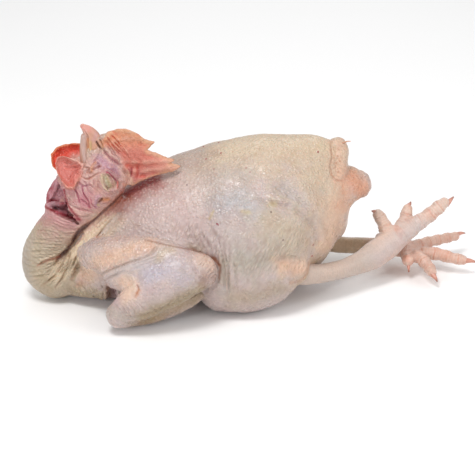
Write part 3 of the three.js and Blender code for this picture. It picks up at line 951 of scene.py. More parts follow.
def foot_grooves(points, normals, shank, toes):
    """How deep points of a foot lie in its joints' folds and in the grooves between its scales."""
    folds = np.zeros(len(points))
    scales = np.zeros(len(points))
    upper = np.clip(normals[:, 2] * 0.6 - normals[:, 1] * 0.8 + 0.6, 0.1, 1)
    for seed, path in enumerate([shank] + [round_sections(toe) for toe in toes]):
        distance, length = along_limb(points, path)
        half = max(station[3] for station in path)
        held = clipped((half * 1.35 - distance) / 1.5)
        wander = length + 0.7 * noise(points, 4, 40 + seed)
        scales = np.maximum(scales, held * bands(wander, SCALE_LENGTH, 0.6) * upper)
        if path is not shank:
            folds = np.maximum(folds, held * bands(wander, JOINT_LENGTH, 0.82))
    return folds, scales


def toe_swell(length):
    """How much thicker a toe is by its joints."""
    return 0.45 * np.cos(length * 2 * np.pi / JOINT_LENGTH)


def foot_form(shank, toes, box):
    """One foot's skin: the shank, its toes and their pads."""
    form = Flesh(*box)
    form.join(limb(shank, sides=32), 0)
    for toe in toes:
        form.join(limb(round_sections(toe), side=TOE_SIDE, sides=24, swell=toe_swell), 3)
    return form


def socket_name(word):
    return word.replace("_", " ").title().replace("Ior", "IOR")


class Value:
    """A number or colour that a material works out. Sums and products of values add Math nodes."""

    def __init__(self, finish, socket):
        self.finish = finish
        self.socket = socket

    def math(self, operation, first, second):
        return self.finish.node("ShaderNodeMath", {"operation": operation}, {0: first, 1: second})

    def __add__(self, other):
        return self.math("ADD", self, other)

    def __radd__(self, other):
        return self.math("ADD", other, self)

    def __sub__(self, other):
        return self.math("SUBTRACT", self, other)

    def __rsub__(self, other):
        return self.math("SUBTRACT", other, self)

    def __mul__(self, other):
        return self.math("MULTIPLY", self, other)

    def __rmul__(self, other):
        return self.math("MULTIPLY", other, self)


class Finish:
    """A material while it is put together, with the numbers that are the same all over it."""

    def __init__(self, name, **uniform):
        self.material = bpy.data.materials.new(name)
        self.material.use_nodes = True
        self.tree = self.material.node_tree
        self.shader = self.tree.nodes["Principled BSDF"]
        for socket, value in uniform.items():
            self.shader.inputs[socket_name(socket)].default_value = value

    def plug(self, socket, value):
        if isinstance(value, Value):
            self.tree.links.new(value.socket, socket)
        else:
            socket.default_value = value

    def node(self, kind, settings, inputs, output=0):
        """Adds a node: its settings first, then the values or links of its sockets."""
        node = self.tree.nodes.new(kind)
        for name, value in settings.items():
            setattr(node, name, value)
        for name, value in inputs.items():
            self.plug(node.inputs[name], value)
        return Value(self, node.outputs[output])

    def place(self):
        return self.node("ShaderNodeTexCoord", {}, {}, "Object")

    def painted(self, name, output="Fac"):
        """What a piece's points carry under a name."""
        return self.node("ShaderNodeAttribute", {"attribute_name": name}, {}, output)

    def noise(self, size, detail=3, rough=0.55):
        """Noise around 0.5, with lumps of a size in millimetres."""
        return self.node("ShaderNodeTexNoise", {}, {
            "Vector": self.place(), "Scale": 1 / (size * MM), "Detail": detail, "Roughness": rough,
        })

    def cells(self, size, random=1.0, place=None):
        """The distance to the middle of the nearest cell, for cells of a size in millimetres."""
        return self.node("ShaderNodeTexVoronoi", {}, {
            "Vector": place or self.place(), "Scale": 1 / (size * MM), "Randomness": random,
        }, "Distance")

    def vector(self, operation, inputs, output=0):
        return self.node("ShaderNodeVectorMath", {"operation": operation}, inputs, output)

    def drawn_out(self, direction, share):
        """The place, squeezed along a direction so that patterns come out long there."""
        place = self.place()
        length = self.vector("DOT_PRODUCT", {0: place, 1: direction}, "Value")
        shift = self.vector("SCALE", {0: direction, "Scale": length * (share - 1)})
        return self.vector("ADD", {0: place, 1: shift})

    def span(self, value, low, high, to_low=0.0, to_high=1.0):
        """A value read on a range, smoothly, and held at its ends."""
        return self.node("ShaderNodeMapRange", {"interpolation_type": "SMOOTHSTEP"}, {
            "Value": value, "From Min": low, "From Max": high, "To Min": to_low, "To Max": to_high,
        })

    def mix(self, share, first, second, blend="MIX"):
        """Two colours, mixed by a share."""
        settings = {"data_type": "RGBA", "blend_type": blend}
        return self.node("ShaderNodeMix", settings, {0: share, 6: first, 7: second}, 2)

    def shaded(self, colour, tone):
        """A colour made lighter or darker."""
        grey = self.node("ShaderNodeCombineColor", {}, {"Red": tone, "Green": tone, "Blue": tone})
        return self.mix(1.0, colour, grey, "MULTIPLY")

    def bump(self, height, depth, under=None):
        """A bump of a depth in millimetres, over another one if given."""
        inputs = {"Height": height, "Distance": depth * MM, "Strength": 1.0}
        if under is not None:
            inputs["Normal"] = under
        return self.node("ShaderNodeBump", {}, inputs)

    def finish(self, **varying):
        for name, value in varying.items():
            self.plug(self.shader.inputs[socket_name(name)], value)
        return self.material


def chicken_skin():
    """Moist skin. Its tone, and where it is pimpled, pebbled or drawn into long folds, are on the points."""
    skin = Finish("chicken skin", subsurface_weight=0.14, subsurface_radius=(1.0, 0.4, 0.25),
                  subsurface_scale=0.002, coat_weight=0.05, coat_roughness=0.2, specular_ior_level=0.6)
    tint = skin.painted("tint", "Color")
    pimpled = skin.painted("pimpled")
    pebbled = skin.painted("pebbled")
    pulled = skin.painted("pulled")
    round_cells = skin.cells(2.7, 0.9)
    long_cells = skin.cells(2.9, 0.95, skin.drawn_out((-0.42, -0.2, -0.885), 0.45))
    cells = round_cells * (1 - pulled) + long_cells * pulled
    bead = skin.span(cells, 0.62, 0.1)
    seam = skin.span(cells, 0.5, 0.9)
    pebbles = skin.span(skin.cells(1.4), 0.7, 0.1)
    mottle = skin.noise(12, 4, 0.6)
    speckle = skin.noise(2.2, 3, 0.6)
    colour = skin.shaded(tint, 0.6 + 0.15 * mottle + 0.22 * speckle)
    pink = skin.span(skin.noise(16, 4), 0.44, 0.7) * (0.05 + 0.13 * pimpled)
    colour = skin.mix(pink, colour, srgb(214, 176, 168), "MULTIPLY")
    yellow = skin.span(skin.noise(9, 4), 0.55, 0.72) * 0.18 * pimpled
    colour = skin.mix(yellow, colour, srgb(206, 186, 132), "MULTIPLY")
    colour = skin.mix(bead * pimpled * 0.16, colour, srgb(232, 206, 184))
    colour = skin.mix(seam * pimpled * (0.14 + 0.16 * pulled), colour, srgb(140, 108, 94))
    pores = skin.span(skin.cells(5.5), 0.075, 0.04) * pimpled
    colour = skin.mix(pores * 0.4, colour, srgb(110, 66, 54))
    relief = skin.bump(skin.noise(4, 3, 0.5), 0.45)
    relief = skin.bump(bead * (0.2 + 0.8 * pimpled) * (0.6 + 0.4 * pulled), 0.85, relief)
    relief = skin.bump(pebbles * (0.25 + 0.75 * pebbled), 0.3, relief)
    relief = skin.bump(skin.noise(0.8, 2), 0.1, relief)
    rough = skin.span(skin.noise(13, 4, 0.6), 0.36, 0.66, 0.48, 0.28) - 0.22 * skin.painted("wet")
    return skin.finish(base_color=colour, roughness=rough, normal=relief)


def foot_skin():
    """Pale scaled skin of the shanks and toes."""
    skin = Finish("foot skin", subsurface_weight=0.12, subsurface_radius=(1.0, 0.5, 0.3),
                  subsurface_scale=0.002, coat_roughness=0.16, specular_ior_level=0.45)
    tint = skin.painted("tint", "Color")
    plates = skin.cells(1.7, 0.9)
    colour = skin.shaded(tint, 0.68 + 0.16 * skin.noise(6, 4) + 0.12 * (1 - plates))
    relief = skin.bump(1 - plates, 0.22)
    relief = skin.bump(skin.noise(0.8, 2), 0.05, relief)
    rough = 0.3 + 0.24 * skin.noise(3)
    return skin.finish(base_color=colour, roughness=rough, coat_weight=0.3, normal=relief)


def horn():
    """Smooth horn of the beak and the claws."""
    horn = Finish("horn", subsurface_weight=0.12, subsurface_radius=(1.0, 0.6, 0.4), subsurface_scale=0.002,
                  coat_weight=0.35, coat_roughness=0.12)
    tint = horn.painted("tint", "Color")
    colour = horn.shaded(tint, 0.68 + 0.24 * horn.noise(3, 4))
    relief = horn.bump(horn.noise(1.2, 3), 0.08)
    return horn.finish(base_color=colour, roughness=0.28 + 0.15 * horn.noise(2), normal=relief)


def srgb(*tone):
    """A colour for a shader from its red, green and blue between 0 and 255."""
    share = np.array(tone) / 255
    return (*np.where(share > 0.04045, ((share + 0.055) / 1.055) ** 2.4, share / 12.92), 1)


TONES = {
    "lilac": (208, 188, 184), "cream": (220, 197, 168), "back shade": (186, 162, 150),
    "rose": (214, 188, 184), "blue grey": (190, 184, 186), "peach": (236, 196, 170),
    "rear peach": (232, 194, 166), "low peach": (202, 172, 136), "thigh": (206, 188, 164),
    "grey": (190, 180, 176), "olive": (160, 142, 98), "ochre": (150, 118, 66), "neck": (196, 178, 154),
    "neck grey": (186, 174, 162), "neck pink": (200, 142, 142), "strip": (236, 212, 180),
    "violet": (198, 188, 200), "web": (206, 192, 190), "wrist": (246, 212, 190), "brown": (142, 84, 50),
    "rust": (176, 92, 54), "dark": (84, 38, 28), "maroon": (84, 32, 36), "face": (218, 166, 162),
    "face light": (230, 188, 174), "mauve": (194, 148, 164), "magenta": (168, 40, 78),
    "cheek": (204, 126, 136), "lid": (178, 154, 114), "lid rim": (216, 186, 154),
    "comb": (222, 130, 112), "comb low": (210, 128, 120), "comb edge": (226, 170, 132),
    "wattle": (226, 130, 118), "wattle rim": (230, 158, 138), "scarlet": (246, 92, 70),
    "orange": (214, 134, 74), "vent": (220, 154, 122), "tail": (232, 196, 170),
    "membrane": (206, 148, 156), "clot and pit shade": (44, 16, 22), "blood": (158, 28, 48),
    "under comb": (150, 22, 18), "horn": (214, 160, 132), "horn pink": (228, 158, 146),
    "mandible": (204, 170, 160), "foot": (230, 202, 186), "shank": (200, 182, 170),
    "joint": (218, 134, 104), "claw": (222, 158, 138), "claw tip": (150, 96, 80),
    "yellow": (206, 180, 112), "comb tip": (238, 186, 164), "comb top": (230, 154, 116),
    "comb red": (214, 84, 62), "lid pale": (188, 176, 148), "drumstick": (192, 184, 168),
    "vein": (176, 62, 88),
}

# Strokes of tone: the tone, its share, how far it reaches in steps, and its line in a view.
# Dark red under the comb's lower edge: a real blood stain, and painted shadow that the comb casts on the
# skin.
COMB_STAIN_AND_SHADE = [
    ("under comb", 0.6, 9, [(120, 203), (130, 196), (142, 189), (156, 180)]),
    ("under comb", 1.0, 5.5, [(126, 194), (134, 189), (146, 182.5), (155, 178)]),
    ("rust", 0.45, 5, [(113, 205), (121, 200), (130, 199)]),
]
COMB_PAINT = [
    ("strip", 0.6, 2.6, [(127.5, 173), (131, 181.5)]),
    ("comb red", 0.5, 1.6, [(137, 165), (137.5, 171), (136, 177)]),
]
BODY_PAINT = [
    ("cream", 1.0, 44, [(200, 146), (260, 136), (330, 142)]),
    # Painted shade: grey darkens the top of the flank.
    ("grey", 0.45, 12, [(208, 178), (240, 176)]),
    ("cream", 0.55, 8, [(118, 222), (106, 238), (96, 248)]),
    ("cream", 0.7, 26, [(326, 170), (330, 200)]),
    ("back shade", 0.85, 18, [(176, 166), (196, 157)]),
    ("rose", 0.8, 26, [(150, 200), (172, 196), (180, 215)]),
    ("blue grey", 0.9, 15, [(222, 204), (238, 200), (254, 212)]),
    ("blue grey", 0.5, 9, [(282, 188), (298, 203)]),
    ("grey", 0.5, 16, [(236, 236), (246, 256)]),
    ("drumstick", 0.7, 14, [(240, 262), (262, 262), (274, 244)]),
    ("thigh", 0.85, 18, [(272, 222), (300, 236), (288, 252)]),
    ("rear peach", 0.9, 13, [(334, 205), (334, 225), (326, 246)]),
    ("low peach", 0.8, 11, [(318, 262), (304, 284)]),
    # Painted shade: olive darkens the lower belly.
    ("olive", 0.45, 9, [(232, 298), (258, 296), (280, 288)]),
    ("peach", 0.95, 8.5, [(284, 266), (300, 267)]),
    # Painted shade: grey in the flank's folds.
    ("grey", 0.6, 5, [(223, 262), (223, 292)]),
    ("tail", 0.9, 8, [(339, 144), (339, 176)]),
    ("vent", 0.9, 13, [(352, 178), (360, 188)]),
    ("vent", 0.45, 8, [(346, 196), (344, 208)]),
    ("peach", 0.9, 9, [(112, 257), (98, 266), (86, 276)]),
    ("peach", 0.5, 8, [(98, 256), (84, 266)]),
    ("olive", 0.75, 9, [(72, 290), (86, 295), (100, 298)]),
    ("ochre", 0.6, 6, [(76, 300), (92, 304), (106, 305)]),
    ("rust", 0.35, 3, [(78, 284), (82, 282)]),
    # Painted shade: brown, mauve and dark in the pocket between the breast and the wing.
    ("brown", 0.9, 3.4, [(108, 287), (109, 296), (107, 305)]),
    ("mauve", 0.6, 3, [(114, 289), (114, 298)]),
    ("dark", 0.8, 2.6, [(105, 308), (110, 305), (114, 301)]),
    ("rust", 0.4, 0.9, [(331, 141), (330.5, 148), (332, 157), (330.5, 166), (332, 175), (337, 180),
        (343, 180)]),
    # Painted shadow: rust along the hock lump's lower and right edge.
    ("rust", 0.3, 1.2, [(309, 262), (307, 273), (299, 281), (290, 283)]),
    # Painted shade, with painted green reflected light, low on the flank.
    ("olive", 0.35, 5, [(223, 262), (224, 280)]),
    ("olive", 0.35, 5, [(190, 246), (200, 250)]),
    ("yellow", 0.5, 2.2, [(242, 211), (249, 212)]),
    ("yellow", 0.6, 1.2, [(213.5, 211), (209, 219.5)]),
    ("yellow", 0.35, 2.5, [(270, 203), (276, 204)]),
    ("rust", 0.8, 1.6, [(208, 256), (215, 259.5), (219.5, 266)]),
    # Painted shade: a thin brown line in the crease where the wing lies on the body.
    ("brown", 0.8, 1.2, [(150, 241), (172, 246), (194, 250), (208, 256), (216, 260), (220, 268),
        (219, 279)]),
]
# Small specks on the skin: half size in millimetres, tone, and places.
SPECKS = [
    (0.75, "blood", [(221, 153), (206, 159), (318, 152), (217, 224), (313, 245), (312, 256)]),
    (0.5, "blood", [(214, 169), (218.4, 225), (246, 168), (250, 172)]),
    (0.6, "maroon", [(233, 152), (187, 185), (271, 212), (283, 240)]),
    (0.45, "rust", [(353, 185), (356, 183), (354, 189), (358, 188), (333, 147), (335, 152), (334, 158),
        (336, 163),
                    (334, 168), (339, 150), (338, 156), (340, 161), (338, 172), (342, 146)]),
]

WING_PAINT = [
    ("peach", 0.9, 12, [(98, 262), (118, 256), (148, 247)]),
    ("violet", 0.85, 14, [(150, 278), (168, 268), (180, 276)]),
    # Painted shade, with painted green reflected light, on the wing's lower part.
    ("olive", 0.75, 8, [(142, 318), (172, 304), (200, 290)]),
    ("violet", 0.5, 8, [(150, 268), (134, 270)]),
    ("web", 0.8, 6, [(158, 254), (138, 264), (112, 275)]),
    ("wrist", 1.0, 8, [(124, 282), (132, 286), (126, 296)]),
    ("peach", 0.6, 9, [(203, 258), (211, 264)]),
    ("yellow", 0.3, 5, [(160, 258), (164, 252), (172, 250)]),
    ("rose", 0.5, 8, [(148, 292), (164, 286)]),
    ("brown", 0.4, 6, [(202, 284), (210, 276), (216, 280)]),
    ("neck grey", 0.6, 7, [(112, 312), (124, 318)]),
    ("ochre", 0.5, 4, [(132, 326), (156, 318), (180, 308), (202, 295)]),
    ("ochre", 0.4, 6, [(140, 330), (170, 322), (200, 308)]),
    # Painted shade: a thin brown line along the wing's edge where it lies on the body.
    ("brown", 0.6, 1.0, [(145, 240), (172, 246), (194, 250.5), (206, 254), (214.6, 259), (219.4, 266.5),
        (220.4, 275)]),
    ("rust", 0.7, 0.9, [(137, 285), (138.5, 289), (137, 293)]),
    ("orange", 0.5, 1.6, [(136, 296), (139, 290)]),
    # Painted shade: brown and mauve in the pocket between the wing and the breast.
    ("brown", 0.75, 3, [(105, 285), (107, 292), (105, 302)]),
    ("mauve", 0.4, 5, [(112, 292), (114, 300)]),
]
NECK_PAINT = [
    ("neck", 1.0, 34, [(30, 240), (30, 262), (45, 280), (62, 285)]),
    # Painted shade: grey along the neck's outer side.
    ("neck grey", 0.75, 8, [(25, 242), (24, 262), (30, 280)]),
    ("neck pink", 1.0, 12, [(44, 212), (62, 222), (82, 227)]),
    ("neck pink", 0.3, 9, [(50, 238), (66, 240)]),
    ("strip", 0.95, 9, [(121, 202), (102, 221), (86, 239), (74, 256)]),
    ("rose", 0.7, 14, [(136, 196), (146, 186)]),
    # Painted shade: olive darkens the lower neck.
    ("olive", 0.25, 8, [(34, 272), (46, 283)]),
]
HEAD_PAINT = [
    # Painted light: the pale strip tone lightens a shaded fold low on the neck.
    ("strip", 0.6, 7, [(61, 262), (57, 276)]),
    ("face", 1.0, 27, [(70, 186), (92, 192), (108, 170), (104, 192)]),
    ("face light", 0.8, 5, [(80, 164), (90, 168), (92, 176), (84, 178)]),
    ("face light", 0.6, 6, [(97, 176), (96, 186), (104, 194)]),
    ("mauve", 0.85, 7, [(100, 160), (108, 166), (116, 170)]),
    ("mauve", 0.5, 6, [(84, 186), (80, 196)]),
    ("cheek", 0.7, 8, [(78, 196), (88, 204)]),
    ("face light", 0.5, 5, [(112, 200), (120, 192), (124, 182)]),
    ("face light", 0.5, 4, [(70, 206), (82, 212), (96, 211)]),
    ("rust", 0.2, 5, [(97, 182), (98, 190)]),
]
# The thin olive line in the lid's gap, the brown lines along the lid's top and in the ear, and the maroon in
# the nostril are painted shade in those hollows.
EYE_PAINT = [
    ("face light", 0.85, 3.4, [(120.5, 167), (125, 174), (126.5, 182)]),
    ("face light", 0.7, 4.6, [(105, 176), (108, 181), (111, 187)]),
    ("lid", 1.0, 2.9, [(105.8, 177.5), (107.8, 181.5), (110, 186)]),
    ("lid pale", 0.8, 0.9, [(105.3, 177), (106, 182), (108.5, 186.5)]),
    ("olive", 0.6, 0.7, [(103.2, 175.5), (103.6, 181.5), (106.2, 187), (109, 189.3)]),
    ("lid rim", 1.0, 0.9, [(101.6, 174.5), (101.6, 181), (104.2, 187.4), (108.5, 191)]),
    ("brown", 0.65, 0.7, [(106, 173.2), (110, 176.8), (112.6, 181), (113, 187)]),
    ("lid rim", 0.7, 0.7, [(108, 173.6), (112.5, 177.4), (114.8, 182), (115, 188)]),
    ("magenta", 0.95, 0.9, [(106.4, 171.9), (109.1, 173.3), (111.9, 176.3), (116, 180)]),
    ("comb red", 0.8, 0.9, [(117.7, 181.5), (118, 188)]),
    ("mauve", 0.7, 2.6, [(99, 196.5), (96, 201), (96.5, 205)]),
    ("orange", 0.85, 1.7, [(103, 199.6), (108.5, 199.4)]),
    ("brown", 0.95, 0.9, [(102.3, 198.3), (100, 200.7), (98.9, 202.4)]),
    ("yellow", 0.7, 1.0, [(97.8, 204.8), (99, 205.2)]),
    ("orange", 0.6, 1.0, [(96, 162), (92.5, 165.5), (91.5, 171)]),
    ("maroon", 0.8, 0.9, [(96.8, 142), (99.2, 146), (101.5, 148.6)]),
    ("yellow", 0.6, 1.2, [(99.5, 141.5), (103, 147)]),
]
THROAT_PAINT = [
    ("blood", 0.95, 1.7, [(41, 200), (44, 206), (52, 210), (62, 214), (74, 218.5), (80, 220)]),
    ("blood", 0.95, 1.5, [(41, 198), (45, 194), (50, 188)]),
    ("blood", 0.95, 1.2, [(64, 190), (68, 205), (79, 219)]),
]
# Tones of creases: the tone, its share, its half width in millimetres, and the creases' names.
# The dark, rust and brown tones in the neck's creases and nicks are painted shade in their hollows.
CREASE_TONES = [
    ("rust", 0.55, 1.8, ["against the breast"]),
    ("dark", 0.9, 0.8, ["against the breast"]),
    ("dark", 0.85, 1.7, ["crease pit high", "crease pit low"]),
    ("brown", 0.45, 1.8, ["armpit"]),
    ("rust", 0.7, 0.8, ["strip nick high", "strip nick middle", "crease end"]),
    ("brown", 0.4, 0.6, ["strip nick low", "fan 1", "fan 2"]),
]
FACE_TONES = [
    ("magenta", 0.55, 0.55, ["cheek 1", "cheek 2", "cheek 3", "cheek 4"]),
    ("magenta", 0.25, 0.6, ["cheek 5", "cheek 7", "cheek 9", "comb root"]),
    ("rust", 0.5, 0.7, ["beak root 1", "beak root 2", "beak root 3"]),
    ("blood", 0.9, 0.8, ["comb pit", "comb pit side"]),
    ("blood", 0.4, 0.6, ["comb pit line"]),
]


def linear_tone(name):
    return np.array(srgb(*TONES[name])[:3])


class Paint(Skin):
    """The tones of a piece's points, laid one over another."""

    def __init__(self, piece, tone):
        super().__init__(*vertex_places(piece))
        self.piece = piece
        self.tint = np.tile(linear_tone(tone), (len(self.points), 1))
        self.ragged = 1 + 0.4 * noise(self.points, 7, 61) + 0.25 * noise(self.points, 2.4, 62)

    def lay(self, tone, share):
        share = clipped(share)[:, None]
        self.tint = self.tint * (1 - share) + linear_tone(tone) * share

    def stroke(self, view, line, reach):
        """Near 1 by a line in a view, and 0 well outside its reach."""
        share = np.zeros(len(self.points))
        chosen, distance, _, seen = self.by_line(view, line, 3 * reach * STEP)
        share[chosen] = bell(distance * self.ragged[chosen] / (reach * STEP)) * seen
        return share

    def both_sides(self, line, reach):
        """The strokes by a line on the bird's left and on its right side, added up."""
        return sum(self.stroke(view, line, reach) for view in (LEFT, RIGHT))

    def sunk(self, depth, start=0):
        """How far points are pressed in, as a share of a depth, less what it starts from."""
        return clipped(-self.push / depth - start)

    def raised(self, height, start=0):
        """How far points are pushed out, as a share of a height, less what it starts from."""
        return clipped(self.push / height - start)

    def stroke_all(self, views, strokes):
        for tone, share, reach, line in strokes:
            self.lay(tone, share * np.max([self.stroke(view, line, reach) for view in views], axis=0))

    def line_creases(self, views, tones, creases):
        for view in views:
            for tone, share, width, names in tones:
                for name in names:
                    self.lay(tone, share * self.stroke(view, creases[name][2], width / STEP))

    def keep(self, **values):
        mesh = self.piece.data
        tint = np.ones((len(self.points), 4), np.float32)
        tint[:, :3] = clipped(self.tint)
        layer = mesh.attributes.new("tint", "FLOAT_COLOR", "POINT")
        layer.data.foreach_set("color", tint.ravel())
        for name, value in values.items():
            layer = mesh.attributes.new(name, "FLOAT", "POINT")
            layer.data.foreach_set("value", np.full(len(self.points), clipped(value), np.float32))


def paint_body(paint):
    paint.stroke_all([LEFT, RIGHT], BODY_PAINT)
    paint.stroke_all([LEFT], COMB_STAIN_AND_SHADE)
    body_relief(paint)
    # Painted shade: darker ochre where the skin is pressed in. Painted highlight: paler cream where it is
    # pushed out.
    paint.lay("ochre", 0.16 * paint.sunk(1.6, 0.25))
    paint.lay("cream", 0.2 * paint.raised(0.8))
    pulled = paint.both_sides([(236, 264), (262, 262), (292, 244)], 32)
    pulled += paint.both_sides([(180, 225), (212, 238)], 14)
    smooth = paint.both_sides([(337, 190), (334, 215), (326, 245)], 13)
    wet = paint.both_sides([(226, 218), (234, 244)], 15)
    paint.keep(pimpled=1 - 0.8 * smooth, pebbled=0, pulled=pulled, wet=0.2 + wet)


def paint_wing(paint):
    paint.stroke_all([LEFT, RIGHT], WING_PAINT)
    wing_relief(paint)
    # Painted shade: darker ochre where the skin is pressed in. Painted highlight: paler cream where it is
    # pushed out.
    paint.lay("ochre", 0.22 * paint.sunk(1.2, 0.2))
    paint.lay("cream", 0.25 * paint.raised(0.8))
    web = paint.both_sides([(160, 254), (138, 265), (106, 280)], 6)
    paint.keep(pimpled=1 - 0.7 * web, pebbled=0, pulled=0, wet=0.4)


def paint_head(paint):
    points = paint.points
    paint.stroke_all([LEFT, NECK_RIGHT], NECK_PAINT + HEAD_PAINT)
    paint.stroke_all([FACE_RIGHT], HEAD_PAINT)
    head_relief(paint)
    face = face_share(points)
    # On the neck: painted shade, olive where the skin is pressed in, and painted highlight, the pale strip
    # tone where it is pushed out.
    paint.lay("olive", 0.3 * paint.sunk(1.8, 0.15) * (1 - face))
    paint.lay("strip", 0.45 * paint.raised(0.7) * (1 - face))
    paint.lay("vein", 0.36 * face_veins(points) * np.clip(0.7 + noise(points, 9, 83), 0.1, 1))
    # Painted shade: ochre in the grooves of the neck's ring wrinkles.
    paint.lay("ochre", 0.2 * neck_rings(points) * (1 - face))
    paint.lay("magenta", 0.28 * paint.sunk(1.1, 0.3) * face)
    # Painted highlight: the pale face tone where the face is pushed out.
    paint.lay("face light", 0.6 * paint.raised(0.6) * face)
    paint.stroke_all([LEFT], COMB_STAIN_AND_SHADE)
    paint.line_creases([LEFT, NECK_RIGHT], CREASE_TONES, NECK_CREASES)
    blade, flat = comb_share(points)
    paint.lay("comb", blade)
    paint.lay("comb low", 0.8 * blade * clipped((122 - points[:, 2]) / 10))
    paint.lay("comb top", blade * np.clip((points[:, 2] - 134) / 12, 0, 0.9))
    paint.lay("comb tip", 0.8 * blade * clipped((points[:, 0] + 66) / 20))
    paint.lay("comb edge", blade * bell(flat * paint.ragged / 2.4) * 0.8)
    paint.lay("comb red", 0.7 * blade * paint.sunk(0.5, 0.4))
    # Painted highlight: the pale comb tip tone where the comb is pushed out.
    paint.lay("comb tip", 0.4 * blade * paint.raised(0.5, 0.4))
    paint.stroke_all([LEFT, FACE_RIGHT], COMB_PAINT)
    paint.line_creases([LEFT, FACE_RIGHT], FACE_TONES, FACE_CREASES)
    paint.stroke_all([LEFT, FACE_RIGHT], EYE_PAINT)
    across, down, toward = LEFT.places(*points.T)
    for tone, rim, outline, middle in (
        ("wattle", "wattle rim", NEAR_WATTLE, 68),
        ("scarlet", "orange", FAR_WATTLE, 52),
    ):
        inside = outline_distance(outline, across, down) * STEP
        held = clipped((9 - np.abs(toward - middle)) / 2) * clipped(1.3 - inside / 1.5)
        held = held * clipped((-106 - points[:, 0]) / 6)
        before_beak = clipped((84 - across) / 5)
        paint.lay(tone, held * before_beak)
        paint.lay(rim, held * bell(inside / 1.6) * 0.75 * before_beak)
    paint.lay("face light", 0.8 * paint.stroke(LEFT, [(74, 158), (84, 158)], 4))
    gap = outline_distance(THROAT_GAP, points[:, 0], points[:, 2])
    in_gap = clipped(0.5 - gap / 1.5)
    in_gap = in_gap * clipped((points[:, 1] + 34) / 4) * clipped((2 - points[:, 1]) / 4)
    paint.lay("membrane", in_gap)
    paint.lay("blood", in_gap * np.clip(0.15 + 0.9 * noise(points, 4, 70), 0, 0.8))
    # A dark red along the throat's deepest hollow: clotted blood, and painted shade in the hollow.
    deep = clipped(paint.stroke(LEFT, [(53, 206), (60, 210), (68, 216)], 3) * 1.3)
    paint.lay("clot and pit shade", 0.45 * in_gap * deep)
    # Painted glints: pale patches on the wet membrane in the throat.
    paint.lay("face light", in_gap * np.clip(1.6 * noise(points, 3, 71) - 0.9, 0, 0.7))
    paint.stroke_all([LEFT], THROAT_PAINT)
    pimpled = (1 - np.maximum(blade, 0.8 * face)) * 0.5 * (1 - in_gap)
    paint.keep(pimpled=pimpled, pebbled=np.maximum(blade, 0.9 * face), pulled=0, wet=0.6 * face)


def paint_beak(paint):
    paint.stroke_all([LEFT, FACE_RIGHT], [
        ("horn pink", 0.9, 5, [(81, 127), (88, 129)]),
        ("mandible", 1.0, 3.6, [(84, 136), (83.5, 147), (85, 160)]),
        ("orange", 0.85, 1.1, [(87.8, 139), (88.5, 148), (90.5, 156), (92, 163)]),
        ("rust", 0.6, 0.9, [(93, 150), (93.5, 157), (92, 163)]),
        ("yellow", 0.7, 1.3, [(90.5, 142), (91, 150), (93, 156)]),
        # Painted shade: dark in the nostril's slit.
        ("dark", 0.9, 1.2, [(96.5, 141.6), (99, 145.8), (101.5, 149)]),
        ("mauve", 0.4, 3, [(96, 134), (94, 140)]),
    ])
    paint.keep()


def vertex_places(piece):
    """A piece's points in millimetres and its normals."""
    mesh = piece.data
    places = np.empty(len(mesh.vertices) * 3, np.float32)
    mesh.vertices.foreach_get("co", places)
    directions = np.empty(len(mesh.vertices) * 3, np.float32)
    mesh.vertex_normals.foreach_get("vector", directions)
    return places.reshape(-1, 3).astype(float) / MM, directions.reshape(-1, 3).astype(float)


def quad_normals(points, quads):
    corners = points[quads]
    across = np.cross(corners[:, 2] - corners[:, 0], corners[:, 3] - corners[:, 1])
    total = np.zeros_like(points)
    for k in range(4):
        for axis in range(3):
            total[:, axis] += np.bincount(quads[:, k], across[:, axis], len(points))
    return unit(total + 1e-9)


def mesh_piece(name, points, triangles):
    """An object in metres from points in millimetres, standing for part of the bird's one solid."""
    mesh = bpy.data.meshes.new(name)
    mesh.vertices.add(len(points))
    mesh.vertices.foreach_set("co", (points * MM).astype(np.float32).ravel())
    mesh.loops.add(triangles.size)
    mesh.loops.foreach_set("vertex_index", triangles.astype(np.int32).ravel())
    mesh.polygons.add(len(triangles))
    mesh.polygons.foreach_set("loop_start", np.arange(0, triangles.size, 3, dtype=np.int32))
    mesh.update(calc_edges=True)
    mesh.validate()
    mesh.shade_smooth()
    piece = bpy.data.objects.new(name, mesh)
    bpy.context.scene.collection.objects.link(piece)
    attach(piece, "root")
    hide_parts("chicken")
    return piece


def thin(piece, most_triangles):
    """Collapses the flattest faces until no more than a number of triangles is left."""
    if len(piece.data.polygons) <= most_triangles:
        return
    modifier = piece.modifiers.new("thin", "DECIMATE")
    modifier.ratio = most_triangles / len(piece.data.polygons)
    with bpy.context.temp_override(object=piece, active_object=piece, selected_objects=[piece]):
        bpy.ops.object.modifier_apply(modifier=modifier.name)
    piece.data.shade_smooth()


def make_skin(name, form, relief, most_triangles, tone, painter, material):
    """Meshes a form, presses its relief in, and paints it."""
    points, quads = form.mesh()
    points = points.astype(float)
    skin = Skin(points, quad_normals(points, quads))
    relief(skin)
    points = points + skin.normals * skin.push[:, None]
    piece = mesh_piece(name, points, np.vstack([quads[:, [0, 1, 2]], quads[:, [0, 2, 3]]]))
    thin(piece, most_triangles)
    painter(Paint(piece, tone))
    piece.data.materials.append(material)
    return piece


